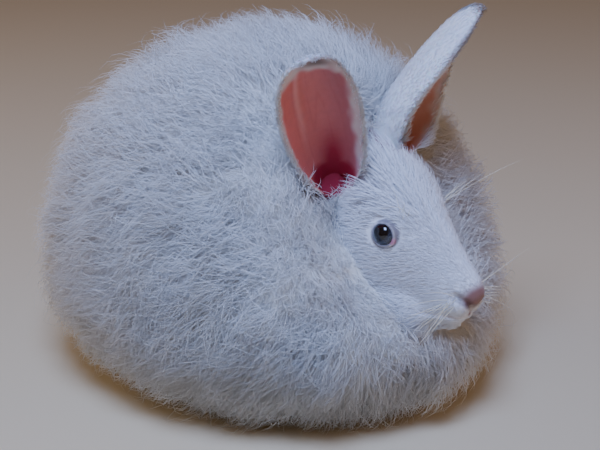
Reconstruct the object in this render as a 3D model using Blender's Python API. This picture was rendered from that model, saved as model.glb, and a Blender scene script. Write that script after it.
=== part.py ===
# Angora rabbit, life size, resting in a loaf with its ears up.
# +X is where it faces, +Y its left side, +Z up. The origin lies on the floor under the middle of the belly.

import math
import random

import bmesh
import bpy
from mathutils import Matrix, Vector
from mathutils.bvhtree import BVHTree

MM = 0.001
GAP = 0.3 * MM

# Ball of wool, measured to the tips of the coat
BODY_FRONT = 146 * MM
BODY_REAR = 170 * MM
BODY_HALF_WIDTH = 136 * MM
BODY_TOP = 148 * MM
BODY_WAIST_HEIGHT = 78 * MM
BODY_REAR_WIDER = 0.13
BODY_REAR_HIGHER = 0.11
BELLY_SQUARENESS = 0.8
BELLY_DEPTH_SHARE = 1.12

# Hollow in the front of the ball that the face looks out of
BOWL_CENTRE = Vector((164 * MM, 0, 162 * MM))
BOWL_RADII = Vector((116 * MM, 172 * MM, 102 * MM))

# The collar of wool round the face is parted from the torso by a cone that flares backwards
COLLAR_APEX = Vector((56 * MM, 0, 118 * MM))
COLLAR_LEAN = math.radians(28)
COLLAR_FLARE = 0.2

# The coat stands in locks on a core that lies this deep under their tips
COAT_DEPTH = 28 * MM
CORE_GRAIN = 22 * MM
CORE_SETTLES = 8 * MM
LOCK_REACH = 56 * MM
LOCK_WIDTH = 47 * MM
LOCK_THICKNESS = 5.5 * MM
LOCK_ROOT_DEPTH = 11 * MM
LOCK_ROLL = math.radians(10)
LOCK_SIZE_VARIES = 0.12
TORSO_LOCKS = 86
NECK_LOCKS = 42
TORSO_SEED = 52
NECK_SEED = 31
HEAD_SEED = 13
TAIL_SEED = 24
LOCK_STEPS = 3

# Smaller locks on the head and the tail
HEAD_LOCK_DEPTH = 7 * MM
HEAD_LOCK_REACH = 23 * MM
HEAD_LOCK_WIDTH = 15 * MM
HEAD_LOCK_THICKNESS = 3 * MM
HEAD_LOCKS = 10
TAIL_COAT_DEPTH = 9 * MM
TAIL_LOCK_REACH = 30 * MM
TAIL_LOCK_WIDTH = 18 * MM
TAIL_LOCKS = 8

# Head, with its own X along the skull towards the nose, and its middle between the eyes
HEAD_CENTRE = Vector((90.5 * MM, 0, 116.5 * MM))
HEAD_PITCH = math.radians(21)
HEAD_TURN = math.radians(1)
# Each station: place along the skull, half width, top, bottom
HEAD_STATIONS = (
    (-60 * MM, 2 * MM, 4 * MM, -4 * MM),
    (-56 * MM, 17 * MM, 19 * MM, -18 * MM),
    (-44 * MM, 27 * MM, 30 * MM, -33 * MM),
    (-24 * MM, 31 * MM, 35 * MM, -42 * MM),
    (-4 * MM, 31 * MM, 32 * MM, -46 * MM),
    (16 * MM, 26 * MM, 26 * MM, -46 * MM),
    (34 * MM, 18.5 * MM, 18 * MM, -42 * MM),
    (46 * MM, 15 * MM, 11.5 * MM, -37 * MM),
    (54 * MM, 12.5 * MM, 6.5 * MM, -32 * MM),
    (60 * MM, 9.5 * MM, 2.5 * MM, -23 * MM),
    (63 * MM, 6 * MM, 0 * MM, -13 * MM),
    (64.5 * MM, 1 * MM, -3 * MM, -6 * MM),
)
HEAD_SQUARENESS = 0.92

EYE_RADIUS = 8.6 * MM
EYE_PLACE = Vector((1.5 * MM, 22.6 * MM, 7 * MM))
EYE_LOOK = Vector((0.17, 1.0, 0.26)).normalized()

LID_REACH = 5.5 * MM
LID_HALF_LENGTH = 6.9 * MM
LID_HALF_HEIGHT = 6.6 * MM
LID_THICKNESS = 1.15 * MM

# Places of the muzzle's forms on the left side of the head, mirrored for the right
NOSE_PAD = (Vector((60.5 * MM, 0, -3.6 * MM)), Vector((4.3 * MM, 6.0 * MM, 4.4 * MM)))
WHISKER_PAD = (Vector((52.5 * MM, 6.6 * MM, -13.5 * MM)), Vector((9.5 * MM, 8.0 * MM, 8.6 * MM)))
CHIN = (Vector((48.0 * MM, 0, -29.0 * MM)), Vector((9.0 * MM, 8.5 * MM, 6.5 * MM)))
NOSTRIL = ((61.2, 2.6, -13.0), (60.6, 4.8, -11.4), (59.8, 8.0, -9.2), (56.8, 10.2, -8.2))
PHILTRUM = ((62.4, 0, -12.5), (61.4, 0, -16.0), (60.0, 0, -19.6))
MOUTH = ((61.2, 0, -17.6), (58.8, 5.6, -20.0), (52.6, 11.5, -22.4), (44.6, 16.0, -25.0), (37.0, 19.0, -27.0))
GROOVE_RADIUS = 0.9 * MM
LIP_RADIUS = 1.5 * MM
LIP_DROP = 2.2 * MM

# Left ear 1, right ear -1. The right one is tipped outwards, and the left one turns outwards as it rises.
EAR_ROOT = {1: Vector((-54.2 * MM, 18.1 * MM, 21.2 * MM)), -1: Vector((-47 * MM, 22 * MM, 14 * MM))}
EAR_LENGTH = {1: 111.5 * MM, -1: 107 * MM}
EAR_RISE = {1: Vector((0.121, 0.327, 0.937)).normalized(), -1: Vector((0.05, 0.555, 0.83)).normalized()}
EAR_OPENS = {1: Vector((1.0, -0.072, 0.0)).normalized(), -1: Vector((0.88, 0.47, 0.0)).normalized()}
EAR_SIZE = {1: 1.075, -1: 1.0}
EAR_CLOSED = {1: 1.2, -1: 1.0}
EAR_BACKWARD_BEND = {1: -11.4 * MM, -1: 4 * MM}
EAR_LEAN = {1: 5.6 * MM, -1: 0.0}
EAR_TWIST = {1: math.radians(53.5), -1: 0.0}
EAR_CANAL_RADII = Vector((8 * MM, 8 * MM, 19 * MM))
EAR_THICKNESS = 2.4 * MM
# Each station: share of the length, half width, half angle of the cup in degrees
EAR_STATIONS = (
    (0.0, 9 * MM, 150),
    (0.12, 13 * MM, 128),
    (0.28, 19.5 * MM, 92),
    (0.45, 23 * MM, 72),
    (0.62, 24 * MM, 60),
    (0.78, 21.5 * MM, 50),
    (0.90, 15.5 * MM, 40),
    (0.97, 8.5 * MM, 30),
    (1.0, 3 * MM, 20),
)

TAIL_CENTRE = Vector((-158 * MM, 0, 88 * MM))
TAIL_HALF_LENGTH = 27 * MM
TAIL_HALF_WIDTH = 20 * MM
TAIL_RISE = math.radians(38)

FOREPAW_HEEL = Vector((42 * MM, 20 * MM, 0))
FOREPAW_LENGTH = 42 * MM
FOREPAW_HALF_WIDTH = 10 * MM
FOREPAW_HEIGHT = 17 * MM
HIND_FOOT_HEEL = Vector((-62 * MM, 58 * MM, 0))
HIND_FOOT_LENGTH = 92 * MM
HIND_FOOT_HALF_WIDTH = 14 * MM
HIND_FOOT_HEIGHT = 22 * MM

WHITE_WOOL = (0.86, 0.86, 0.88)
SHORT_FUR = (0.88, 0.87, 0.9)
EAR_SKIN = (0.78, 0.42, 0.42)
EYE_COLOUR = (0.06, 0.07, 0.1)


def clear_scene():
    for obj in list(bpy.data.objects):
        bpy.data.objects.remove(obj)


def material(name, colour, roughness):
    made = bpy.data.materials.new(name)
    made.use_nodes = True
    shader = made.node_tree.nodes["Principled BSDF"]
    shader.inputs["Base Color"].default_value = (*colour, 1)
    shader.inputs["Roughness"].default_value = roughness
    shader.inputs["Metallic"].default_value = 0
    return made


def mesh_object(name, points, faces, finish=None):
    mesh = bpy.data.meshes.new(name)
    mesh.from_pydata([tuple(p) for p in points], [], faces)
    obj = bpy.data.objects.new(name, mesh)
    bpy.context.scene.collection.objects.link(obj)
    if finish:
        mesh.materials.append(finish)
    return obj


def tube_solid(name, point, rings, sides, finish=None):
    """Closed body from a pole at share 0 to a pole at share 1. point(share, turn) gives each place."""
    points = [point(0.0, 0.0)]
    for i in range(1, rings):
        points += [point(i / rings, 2 * math.pi * j / sides) for j in range(sides)]
    points.append(point(1.0, 0.0))
    last = len(points) - 1
    faces = [(0, 1 + (j + 1) % sides, 1 + j) for j in range(sides)]
    for i in range(rings - 2):
        row = 1 + i * sides
        for j in range(sides):
            k = (j + 1) % sides
            faces.append((row + j, row + k, row + sides + k, row + sides + j))
    row = 1 + (rings - 2) * sides
    faces += [(last, row + j, row + (j + 1) % sides) for j in range(sides)]
    obj = mesh_object(name, points, faces, finish)
    face_outwards(obj)
    obj.data.shade_smooth()
    return obj


def face_outwards(obj):
    shape = bmesh.new()
    shape.from_mesh(obj.data)
    bmesh.ops.recalc_face_normals(shape, faces=shape.faces)
    if shape.calc_volume(signed=True) < 0:
        bmesh.ops.reverse_faces(shape, faces=shape.faces)
    shape.to_mesh(obj.data)
    shape.free()


def between(stations, place):
    """Smooth values at a place along a table whose first column is the place."""
    if place <= stations[0][0]:
        return stations[0][1:]
    if place >= stations[-1][0]:
        return stations[-1][1:]
    i = next(k for k in range(len(stations) - 1) if stations[k + 1][0] >= place)
    low, high = stations[i], stations[i + 1]
    before, after = stations[max(i - 1, 0)], stations[min(i + 2, len(stations) - 1)]
    step = high[0] - low[0]
    t = (place - low[0]) / step
    values = []
    for k in range(1, len(low)):
        slope_low = (high[k] - before[k]) / max(high[0] - before[0], 1e-9) * step
        slope_high = (after[k] - low[k]) / max(after[0] - low[0], 1e-9) * step
        values.append(
            (2 * t**3 - 3 * t**2 + 1) * low[k]
            + (t**3 - 2 * t**2 + t) * slope_low
            + (3 * t**2 - 2 * t**3) * high[k]
            + (t**3 - t**2) * slope_high
        )
    return values


def signed_power(value, power):
    return math.copysign(abs(value) ** power, value)


def direction(share, turn):
    """Unit vector whose pole is +X, for shares from 0 at the rear to 1 in front."""
    polar = math.pi * (1 - share)
    return Vector((math.cos(polar), math.sin(polar) * math.cos(turn), math.sin(polar) * math.sin(turn)))


def body_shape(way, inset):
    """Place on the body in a direction, at a depth under the tips of the coat."""
    reach = (BODY_FRONT if way.x > 0 else BODY_REAR) - inset
    x = reach * way.x
    y = (BODY_HALF_WIDTH - inset) * way.y * (1 - BODY_REAR_WIDER * way.x)
    if way.z > 0:
        z = BODY_WAIST_HEIGHT + (BODY_TOP * (1 - BODY_REAR_HIGHER * way.x) - inset) * way.z
    else:
        deep = BODY_WAIST_HEIGHT * BELLY_DEPTH_SHARE
        z = BODY_WAIST_HEIGHT + deep * signed_power(way.z, BELLY_SQUARENESS)
    return Vector((x, y, z))


def wool_core(name, inset, finish):
    """The body at a depth under the tips of its coat, hollowed for the face."""
    ball = tube_solid(name, lambda s, t: body_shape(direction(s, t), inset), 30, 40, finish)
    bpy.ops.mesh.primitive_uv_sphere_add(segments=40, ring_count=24, radius=1)
    bowl = bpy.context.active_object
    bowl.data.transform(Matrix.Translation(BOWL_CENTRE) @ Matrix.Diagonal((*BOWL_RADII, 1)))
    combine(ball, bowl, "DIFFERENCE")
    even = ball.modifiers.new("even", "REMESH")
    even.mode = "VOXEL"
    even.voxel_size = CORE_GRAIN
    even.use_smooth_shade = True
    apply_modifier(ball, even)
    soften = ball.modifiers.new("soften", "SMOOTH")
    soften.factor = 0.6
    soften.iterations = 4
    apply_modifier(ball, soften)
    return ball


def coat_lie(place, normal):
    """Way along the surface that the wool lies: away from the face in front, else back and down."""
    away = place - HEAD_CENTRE
    near = math.exp(-((away.length / (105 * MM)) ** 2))
    away = away.normalized() + Vector((-0.35, 0, -0.3))
    flow = away * near + Vector((-0.8, 0, -0.62)) * (1 - near)
    flow -= normal * flow.dot(normal)
    return flow.normalized()


def coat_depth_share(place):
    """How deep the coat is, as a share: shallow next to the face, so that it stays open."""
    near = (place - HEAD_CENTRE).length / (72 * MM)
    return min(1.0, max(0.4, near**2))


def spread_roots(core, count, allowed):
    """Places spread evenly over the faces of a core, each with its normal."""
    choice = [(f.center.copy(), f.normal.copy()) for f in core.data.polygons if allowed(f.center, f.normal)]
    chosen = [choice[0]]
    room = [(place - choice[0][0]).length for place, _ in choice]
    while len(chosen) < min(count, len(choice)):
        k = max(range(len(choice)), key=room.__getitem__)
        chosen.append(choice[k])
        room = [min(r, (place - choice[k][0]).length) for r, (place, _) in zip(room, choice)]
    return chosen


def lock_path(surface, root, normal, reach, depth, sunk, swing, lie_at):
    """Places from the sunk root to the tip, which wrap round the core along the lie and rise to the coat's depth."""
    path = []
    under = root
    for i in range(LOCK_STEPS + 1):
        share = i / LOCK_STEPS
        height = -sunk + (depth + sunk) * math.sin(math.pi / 2 * share)
        path.append((under + normal * height, normal))
        lie = Matrix.Rotation(swing, 3, normal) @ lie_at(under, normal)
        step = reach * (((i + 1) / LOCK_STEPS) ** 1.2 - share**1.2)
        under, facing, _, _ = surface.find_nearest(under + lie * step)
        normal = (normal + facing * 1.5).normalized()
    return path


def make_lock(name, path, width, thickness, roll):
    """Flat tapered lock with a ridge along its top."""
    rows = len(path) - 1
    points, faces = [], []
    for i, (place, normal) in enumerate(path):
        share = i / rows
        before = path[max(i - 1, 0)][0]
        after = path[min(i + 1, rows)][0]
        ahead = (after - before).normalized()
        if i == rows:
            points.append(place)
            break
        flat = Matrix.Rotation(roll, 3, ahead) @ normal.cross(ahead).normalized()
        thick = ahead.cross(flat)
        wide = 0.5 * width * (0.66 + 0.34 * math.sin(math.pi * min(1, share * 1.5))) * (1 - share**3.0)
        deep = thickness * (1 - 0.45 * share)
        points += [place + flat * wide, place + thick * deep, place - flat * wide]
    for i, p in enumerate(points):
        p.z = max(p.z, (1.2 + 0.17 * i) * MM + 0.02 * width)
    for i in range(rows - 1):
        for j in range(3):
            k = (j + 1) % 3
            low, high = 3 * i, 3 * i + 3
            faces += [(low + j, low + k, high + k), (low + j, high + k, high + j)]
    tip = len(points) - 1
    faces += [(tip - 3 + j, tip - 3 + (j + 1) % 3, tip) for j in range(3)]
    faces.append((2, 1, 0))
    lock = mesh_object(name, points, faces)
    face_outwards(lock)
    return lock


def hull_room(obj, by):
    """Closed hull of a solid, larger by a distance all round, in place of it."""
    shape = bmesh.new()
    shape.from_mesh(obj.data)
    made = bmesh.ops.convex_hull(shape, input=shape.verts)
    hull = set(made["geom"])
    bmesh.ops.delete(shape, geom=[f for f in shape.faces if f not in hull], context="FACES_ONLY")
    bmesh.ops.delete(shape, geom=[e for e in shape.edges if not e.link_faces], context="EDGES")
    bmesh.ops.delete(shape, geom=[v for v in shape.verts if not v.link_faces], context="VERTS")
    shape.to_mesh(obj.data)
    shape.free()
    face_outwards(obj)
    for vertex, normal in [(v, v.normal.copy()) for v in obj.data.vertices]:
        vertex.co += normal * by
    return obj


def surface_of(obj):
    shape = bmesh.new()
    shape.from_mesh(obj.data)
    tree = BVHTree.FromBMesh(shape)
    shape.free()
    return tree


def lock_plans(core, surface, count, allowed, seed, lie_at, sizes, depth_share=lambda place: 1):
    """Path, width, thickness and roll of each lock of a node. sizes: reach, width, thickness, depth, sunk."""
    draw = random.Random(seed)
    reach, width, thickness, depth, sunk = sizes
    plans = []
    for root, normal in spread_roots(core, count, allowed):
        longer = reach * (1 + draw.uniform(-LOCK_SIZE_VARIES, LOCK_SIZE_VARIES))
        wider = width * (1 + draw.uniform(-LOCK_SIZE_VARIES, LOCK_SIZE_VARIES))
        deeper = depth * (1 + draw.uniform(-0.08, 0.06))
        deeper *= depth_share(root)
        swing = math.radians(draw.uniform(-9, 9))
        path = lock_path(surface, root, normal, longer, deeper, sunk, swing, lie_at)
        plans.append((path, wider, thickness, LOCK_ROLL + math.radians(draw.uniform(-4, 4))))
    return plans


def locks_from(name, plans):
    return [make_lock(f"{name}_{i}", *plan) for i, plan in enumerate(plans)]


def lock_rooms(plans):
    """Closed hulls that hold each lock with room all round."""
    return [hull_room(lock, 3 * GAP) for lock in locks_from("room", plans)]


def combine_all(obj, others, operation):
    """Fuses with or cuts by a collection of closed helpers in one Boolean, and removes them."""
    group = bpy.data.collections.new(obj.name + "_helpers")
    bpy.context.scene.collection.children.link(group)
    for other in others:
        for home in list(other.users_collection):
            home.objects.unlink(other)
        group.objects.link(other)
    change = obj.modifiers.new(operation.lower(), "BOOLEAN")
    change.operation = operation
    change.operand_type = "COLLECTION"
    change.solver = "MANIFOLD"
    change.collection = group
    apply_modifier(obj, change)
    for other in others:
        bpy.data.objects.remove(other)
    bpy.data.collections.remove(group)


def coat_grows(place, normal):
    return place.z > 14 * MM and normal.z > -0.8


def torso_coat_grows(place, normal):
    """The torso's own locks start where those of the collar no longer cover it."""
    lean = Matrix.Rotation(COLLAR_LEAN, 3, "Y") @ (place - COLLAR_APEX)
    behind = -lean.x - COLLAR_FLARE * math.hypot(lean.y, lean.z)
    return coat_grows(place, normal) and behind > 16 * MM


def head_lie(place, normal):
    """Fur of the head lies backwards and away from its middle."""
    local = head_matrix().inverted() @ place
    flow = head_matrix().to_3x3() @ Vector((-1, local.y * 14, local.z * 8 - 0.25))
    flow -= normal * flow.dot(normal)
    return flow.normalized()


def cheek_grows(place, normal):
    """Cheeks and the edge of the jaw, clear of the eyes, the ears and the face."""
    local = head_matrix().inverted() @ place
    return -34 * MM < local.x < 12 * MM and local.z < -12 * MM


def tail_lie(place, normal):
    flow = Matrix.Rotation(TAIL_RISE, 3, "Y") @ Vector((-1, 0, 0))
    flow -= normal * flow.dot(normal)
    return flow.normalized()


def tail_grows(place, normal):
    return normal.x > -0.8 and place.x < -138 * MM


def head_matrix():
    turn = Matrix.Rotation(HEAD_TURN, 4, "Z") @ Matrix.Rotation(HEAD_PITCH, 4, "Y")
    return Matrix.Translation(HEAD_CENTRE) @ turn


def mirrored(place, side):
    return Vector((place.x, place.y * side, place.z))


def head_point(share, turn):
    start, end = HEAD_STATIONS[0][0], HEAD_STATIONS[-1][0]
    x = start + (end - start) * (0.5 - 0.5 * math.cos(math.pi * share))
    half_width, top, bottom = between(HEAD_STATIONS, x)
    middle = 0.42 * top + 0.58 * bottom
    y = half_width * signed_power(math.cos(turn), HEAD_SQUARENESS)
    up = signed_power(math.sin(turn), HEAD_SQUARENESS)
    z = middle + ((top - middle) if up > 0 else (middle - bottom)) * up
    return Vector((x, y, z))


def ellipsoid(name, centre, radii, segments=12, rings=8):
    bpy.ops.mesh.primitive_uv_sphere_add(segments=segments, ring_count=rings, radius=1)
    ball = bpy.context.active_object
    ball.name = name
    ball.data.transform(Matrix.Translation(centre) @ Matrix.Diagonal((*radii, 1)))
    return ball


def cord_solid(name, places, radius, sides=6, pointed=True):
    """Closed round body along a line of places, tapering at its ends."""
    points, faces = [], []
    last = len(places) - 1
    for i, place in enumerate(places):
        ahead = (places[min(i + 1, last)] - places[max(i - 1, 0)]).normalized()
        side = ahead.orthogonal().normalized() if i == 0 else (side - ahead * side.dot(ahead)).normalized()
        other = ahead.cross(side)
        size = radius * (0.45 if pointed and i in (0, last) else 1)
        for j in range(sides):
            turn = 2 * math.pi * j / sides
            points.append(place + (side * math.cos(turn) + other * math.sin(turn)) * size)
    for i in range(last):
        for j in range(sides):
            k = (j + 1) % sides
            faces.append((i * sides + j, i * sides + k, (i + 1) * sides + k, (i + 1) * sides + j))
    faces += [tuple(reversed(range(sides))), tuple(range(last * sides, (last + 1) * sides))]
    cord = mesh_object(name, points, faces)
    face_outwards(cord)
    return cord


def on_surface(surface, places, side, lift=0.0, drop=0.0):
    """Millimetre places laid onto the surface nearest to them."""
    laid = []
    for x, y, z in places:
        place, normal, _, _ = surface.find_nearest(Vector((x * MM, y * MM * side, z * MM - drop)))
        laid.append(place + normal * lift)
    return laid


def smooth_line(places, steps):
    """Places along a smooth curve through a few given ones."""
    line = []
    for i in range(len(places) - 1):
        before, after = places[max(i - 1, 0)], places[min(i + 2, len(places) - 1)]
        low, high = places[i], places[i + 1]
        for k in range(steps):
            t = k / steps
            bend = (after - low) * (t**3 - t**2) + (high - before) * (t**3 - 2 * t**2 + t)
            line.append(low * (2 * t**3 - 3 * t**2 + 1) + high * (3 * t**2 - 2 * t**3) + bend * 0.5)
    return line + [places[-1]]


def lid_ring(name, side):
    """Rim of both lids round an eye, longer than it is high and drawn to its corners."""
    look = mirrored(EYE_LOOK, side)
    ahead = (Vector((1, 0, -0.28)) - look * look.dot(Vector((1, 0, -0.28)))).normalized()
    above = look.cross(ahead) * side
    steps, sides = 16, 5
    points, faces = [], []
    for i in range(steps):
        turn = 2 * math.pi * i / steps
        corner = 1 + 0.13 * math.cos(turn) ** 8
        out = ahead * math.cos(turn) * LID_HALF_LENGTH * corner + above * math.sin(turn) * LID_HALF_HEIGHT
        away = out.normalized()
        for j in range(sides):
            tilt = 2 * math.pi * j / sides
            rim = mirrored(EYE_PLACE, side) + look * (LID_REACH - 0.8 * MM * math.cos(turn) ** 4) + out
            points.append(rim + (away * math.cos(tilt) + look * math.sin(tilt)) * LID_THICKNESS)
    for i in range(steps):
        for j in range(sides):
            a, b = i * sides + j, i * sides + (j + 1) % sides
            c, d = ((i + 1) % steps) * sides + (j + 1) % sides, ((i + 1) % steps) * sides + j
            faces.append((a, b, c, d))
    ring = mesh_object(name, points, faces)
    face_outwards(ring)
    return ring


def ear_canal(side):
    """Hollow at the foot of the cup of an ear."""
    rise, straight = ear_frame(side)
    canal = ellipsoid("canal", (0, 0, 0), EAR_CANAL_RADII, 10, 7)
    turned = rise.to_track_quat("Z", "Y").to_matrix().to_4x4()
    foot = mirrored(EAR_ROOT[side], side) + rise * 20 * MM + straight * 5 * MM
    canal.data.transform(Matrix.Translation(foot) @ turned)
    return canal


def make_head(finish):
    """Skull with lids, nose, whisker pads, nostrils, and the line of the mouth between its lips."""
    head = tube_solid("head", head_point, 24, 24, finish)
    forms = [ellipsoid("nose_pad", *NOSE_PAD), ellipsoid("chin", *CHIN)]
    for side in (1, -1):
        forms.append(ellipsoid("whisker_pad", mirrored(WHISKER_PAD[0], side), WHISKER_PAD[1]))
        forms.append(lid_ring("lids", side))
    combine_all(head, forms, "UNION")
    surface = surface_of(head)
    lips, grooves = [], []
    for side in (1, -1):
        lip_line = on_surface(surface, MOUTH, side, -0.55 * LIP_RADIUS, LIP_DROP)
        lips.append(cord_solid("lip", smooth_line(lip_line, 2), LIP_RADIUS))
        mouth_line = on_surface(surface, MOUTH, side)
        grooves.append(cord_solid("mouth", smooth_line(mouth_line, 3), GROOVE_RADIUS))
        nostril_line = on_surface(surface, NOSTRIL, side, -0.1 * MM)
        grooves.append(cord_solid("nostril", smooth_line(nostril_line, 2), 1.15 * GROOVE_RADIUS))
    grooves.append(cord_solid("philtrum", smooth_line(on_surface(surface, PHILTRUM, 1), 2), 0.75 * GROOVE_RADIUS))
    combine_all(head, lips, "UNION")
    combine_all(head, grooves, "DIFFERENCE")
    combine_all(head, [ear_canal(side) for side in (1, -1)], "DIFFERENCE")
    keep_largest(head)
    head.data.transform(head_matrix())
    return head


def head_room(by):
    """Plain skull with few faces, larger than the head by a distance all round."""
    flats = 1.3 * MM
    room = tube_solid("head_room", head_point, 12, 16)
    room.data.transform(head_matrix())
    for vertex, normal in [(v, v.normal.copy()) for v in room.data.vertices]:
        vertex.co += normal * (by + flats)
    return room


def ear_room(side, by):
    """Plain closed tube that holds a whole ear and its cup, with a little room all round."""

    def point(share, turn):
        along = share * 1.2 - 0.15
        held = min(max(along, 0), 1)
        spine, straight, across = ear_spine(side, along)
        radius, cup = ear_cup(side, held)
        half_width = radius * math.sin(min(cup, math.pi / 2))
        half_depth = radius * (1 - math.cos(cup)) / 2
        closed = 0 if share in (0, 1) else 1
        middle = spine + straight * (half_depth - radius * 0.55)
        wide = (1.16 * half_width + EAR_THICKNESS + by) * closed
        deep = (1.16 * half_depth + 1.2 * EAR_THICKNESS + by) * closed
        right, up = signed_power(math.cos(turn), 0.7), signed_power(math.sin(turn), 0.7)
        return middle + across * wide * right + straight * deep * up

    room = tube_solid("ear_room", point, 10, 12)
    room.data.transform(head_matrix())
    return room


def make_eye(name, side, finish):
    bpy.ops.mesh.primitive_uv_sphere_add(segments=14, ring_count=9, radius=EYE_RADIUS)
    eye = bpy.context.active_object
    eye.name = name
    eye.data.name = name
    look = mirrored(EYE_LOOK, side).to_track_quat("Z", "Y").to_matrix().to_4x4()
    place = head_matrix() @ Matrix.Translation(mirrored(EYE_PLACE, side)) @ look
    eye.data.transform(place)
    eye.data.shade_smooth()
    eye.data.materials.append(finish)
    return eye


def ear_frame(side):
    """Ways that an ear rises and opens at its root."""
    rise = mirrored(EAR_RISE[side], side)
    straight = mirrored(EAR_OPENS[side], side)
    return rise, (straight - rise * straight.dot(rise)).normalized()


def ear_spine(side, share):
    """Place on the line that an ear bends along, and the ways it opens and spreads there."""
    rise, opens = ear_frame(side)
    spreads = rise.cross(opens)
    twist = EAR_TWIST[side] * min(max(share, 0), 1) ** 1.3
    straight = opens * math.cos(twist) + spreads * math.sin(twist)
    across = spreads * math.cos(twist) - opens * math.sin(twist)
    place = mirrored(EAR_ROOT[side], side) + rise * EAR_LENGTH[side] * share
    place += across * EAR_LEAN[side] * share**2 - straight * EAR_BACKWARD_BEND[side] * share**2
    return place, straight, across


def ear_cup(side, share):
    """Radius and half angle of the cup of an ear."""
    half_width, cup = between(EAR_STATIONS, share)
    cup = math.radians(cup) * EAR_CLOSED[side]
    return half_width * EAR_SIZE[side] / math.sin(min(cup, math.pi / 2)), cup


def ear_sheet(side, rows, columns):
    """Places on the middle surface of an ear, row by row from its root."""
    points = []
    for i in range(rows + 1):
        share = 1 - (1 - i / rows) ** 1.25
        spine, straight, across = ear_spine(side, share)
        radius, cup = ear_cup(side, share)
        for j in range(columns + 1):
            turn = cup * (2 * j / columns - 1)
            aside, forward = radius * math.sin(turn), radius * (0.45 - math.cos(turn))
            points.append(spine + across * aside + straight * forward)
    return points


def make_ear(name, side, finish):
    rows, columns = 13, 10
    points = ear_sheet(side, rows, columns)
    wide = columns + 1
    faces = [
        (i * wide + j, i * wide + j + 1, (i + 1) * wide + j + 1, (i + 1) * wide + j)
        for i in range(rows)
        for j in range(columns)
    ]
    ear = mesh_object(name, points, faces, finish)
    ear.data.transform(head_matrix())
    thicken = ear.modifiers.new("thickness", "SOLIDIFY")
    thicken.thickness = EAR_THICKNESS
    thicken.offset = 0
    apply_modifier(ear, thicken)
    face_outwards(ear)
    ear.data.shade_smooth()
    return ear


def make_foot(name, side, heel, length, half_width, height, splay, finish):
    """Foot from heel to toes, flat underneath, with the end of its leg rising at the heel."""

    def point(share, turn):
        x = length * (0.5 - 0.5 * math.cos(math.pi * share))
        roundness = math.sin(math.pi * share) ** 0.55
        y = half_width * roundness * math.cos(turn) * (0.86 + 0.14 * share)
        z = height * (0.42 + (1 - 0.35 * share) * roundness * 0.6 * math.sin(turn))
        return Vector((x, y, max(z, 0)))

    foot = tube_solid(name, point, 8, 10, finish)
    turned = Matrix.Rotation(splay * side, 4, "Z")
    foot.data.transform(Matrix.Translation(mirrored(heel, side)) @ turned)
    return foot


def tail_shape(way, inset):
    place = Vector(
        (
            (TAIL_HALF_LENGTH - inset) * way.x,
            (TAIL_HALF_WIDTH - inset) * way.y,
            (TAIL_HALF_WIDTH - inset) * way.z,
        )
    )
    return TAIL_CENTRE + Matrix.Rotation(TAIL_RISE, 3, "Y") @ place


def apply_modifier(obj, modifier):
    with bpy.context.temp_override(object=obj, active_object=obj, selected_objects=[obj]):
        bpy.ops.object.modifier_apply(modifier=modifier.name)


def combine(obj, other, operation):
    """Cuts or keeps with a helper solid, which is then removed."""
    change = obj.modifiers.new(operation.lower(), "BOOLEAN")
    change.operation = operation
    change.solver = "MANIFOLD"
    change.object = other
    apply_modifier(obj, change)
    bpy.data.objects.remove(other)


def grown(obj, by):
    """Copy of a smooth solid, larger by a distance all round."""
    copy = bpy.data.objects.new(obj.name + "_room", obj.data.copy())
    bpy.context.scene.collection.objects.link(copy)
    normals = [v.normal.copy() for v in copy.data.vertices]
    for vertex, normal in zip(copy.data.vertices, normals):
        vertex.co += normal * by
    return copy


def floor_block():
    bpy.ops.mesh.primitive_cube_add(size=1, location=(0, 0, -0.25))
    block = bpy.context.active_object
    block.data.transform(Matrix.Translation((0, 0, -0.25)) @ Matrix.Diagonal((1, 1, 0.5, 1)))
    block.location = (0, 0, 0)
    return block


def collar_zone(name, shift):
    """Closed cone whose rear face parts the collar from the torso, flaring backwards."""
    far, deep = 0.4, 0.4
    shape = bmesh.new()
    sides = 24
    apex = shape.verts.new((0, 0, 0))
    rim = []
    front = []
    for j in range(sides):
        turn = 2 * math.pi * j / sides
        rim.append(shape.verts.new((-COLLAR_FLARE * far, far * math.cos(turn), far * math.sin(turn))))
        front.append(shape.verts.new((deep, far * math.cos(turn), far * math.sin(turn))))
    for j in range(sides):
        k = (j + 1) % sides
        shape.faces.new((apex, rim[j], rim[k]))
        shape.faces.new((rim[j], front[j], front[k], rim[k]))
    shape.faces.new(front)
    mesh = bpy.data.meshes.new(name)
    shape.to_mesh(mesh)
    shape.free()
    zone = bpy.data.objects.new(name, mesh)
    bpy.context.scene.collection.objects.link(zone)
    face_outwards(zone)
    lean = Matrix.Rotation(-COLLAR_LEAN, 4, "Y")
    mesh.transform(Matrix.Translation(COLLAR_APEX) @ lean @ Matrix.Translation((shift, 0, 0)))
    return zone


def keep_largest(obj):
    """Leaves only the closed surface with the most points."""
    shape = bmesh.new()
    shape.from_mesh(obj.data)
    left = set(shape.verts)
    pieces = []
    while left:
        todo = [left.pop()]
        found = list(todo)
        while todo:
            for edge in todo.pop().link_edges:
                for vertex in edge.verts:
                    if vertex in left:
                        left.remove(vertex)
                        found.append(vertex)
                        todo.append(vertex)
        pieces.append(found)
    pieces.sort(key=len)
    for piece in pieces[:-1]:
        bmesh.ops.delete(shape, geom=piece, context="VERTS")
    shape.to_mesh(obj.data)
    shape.free()


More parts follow.
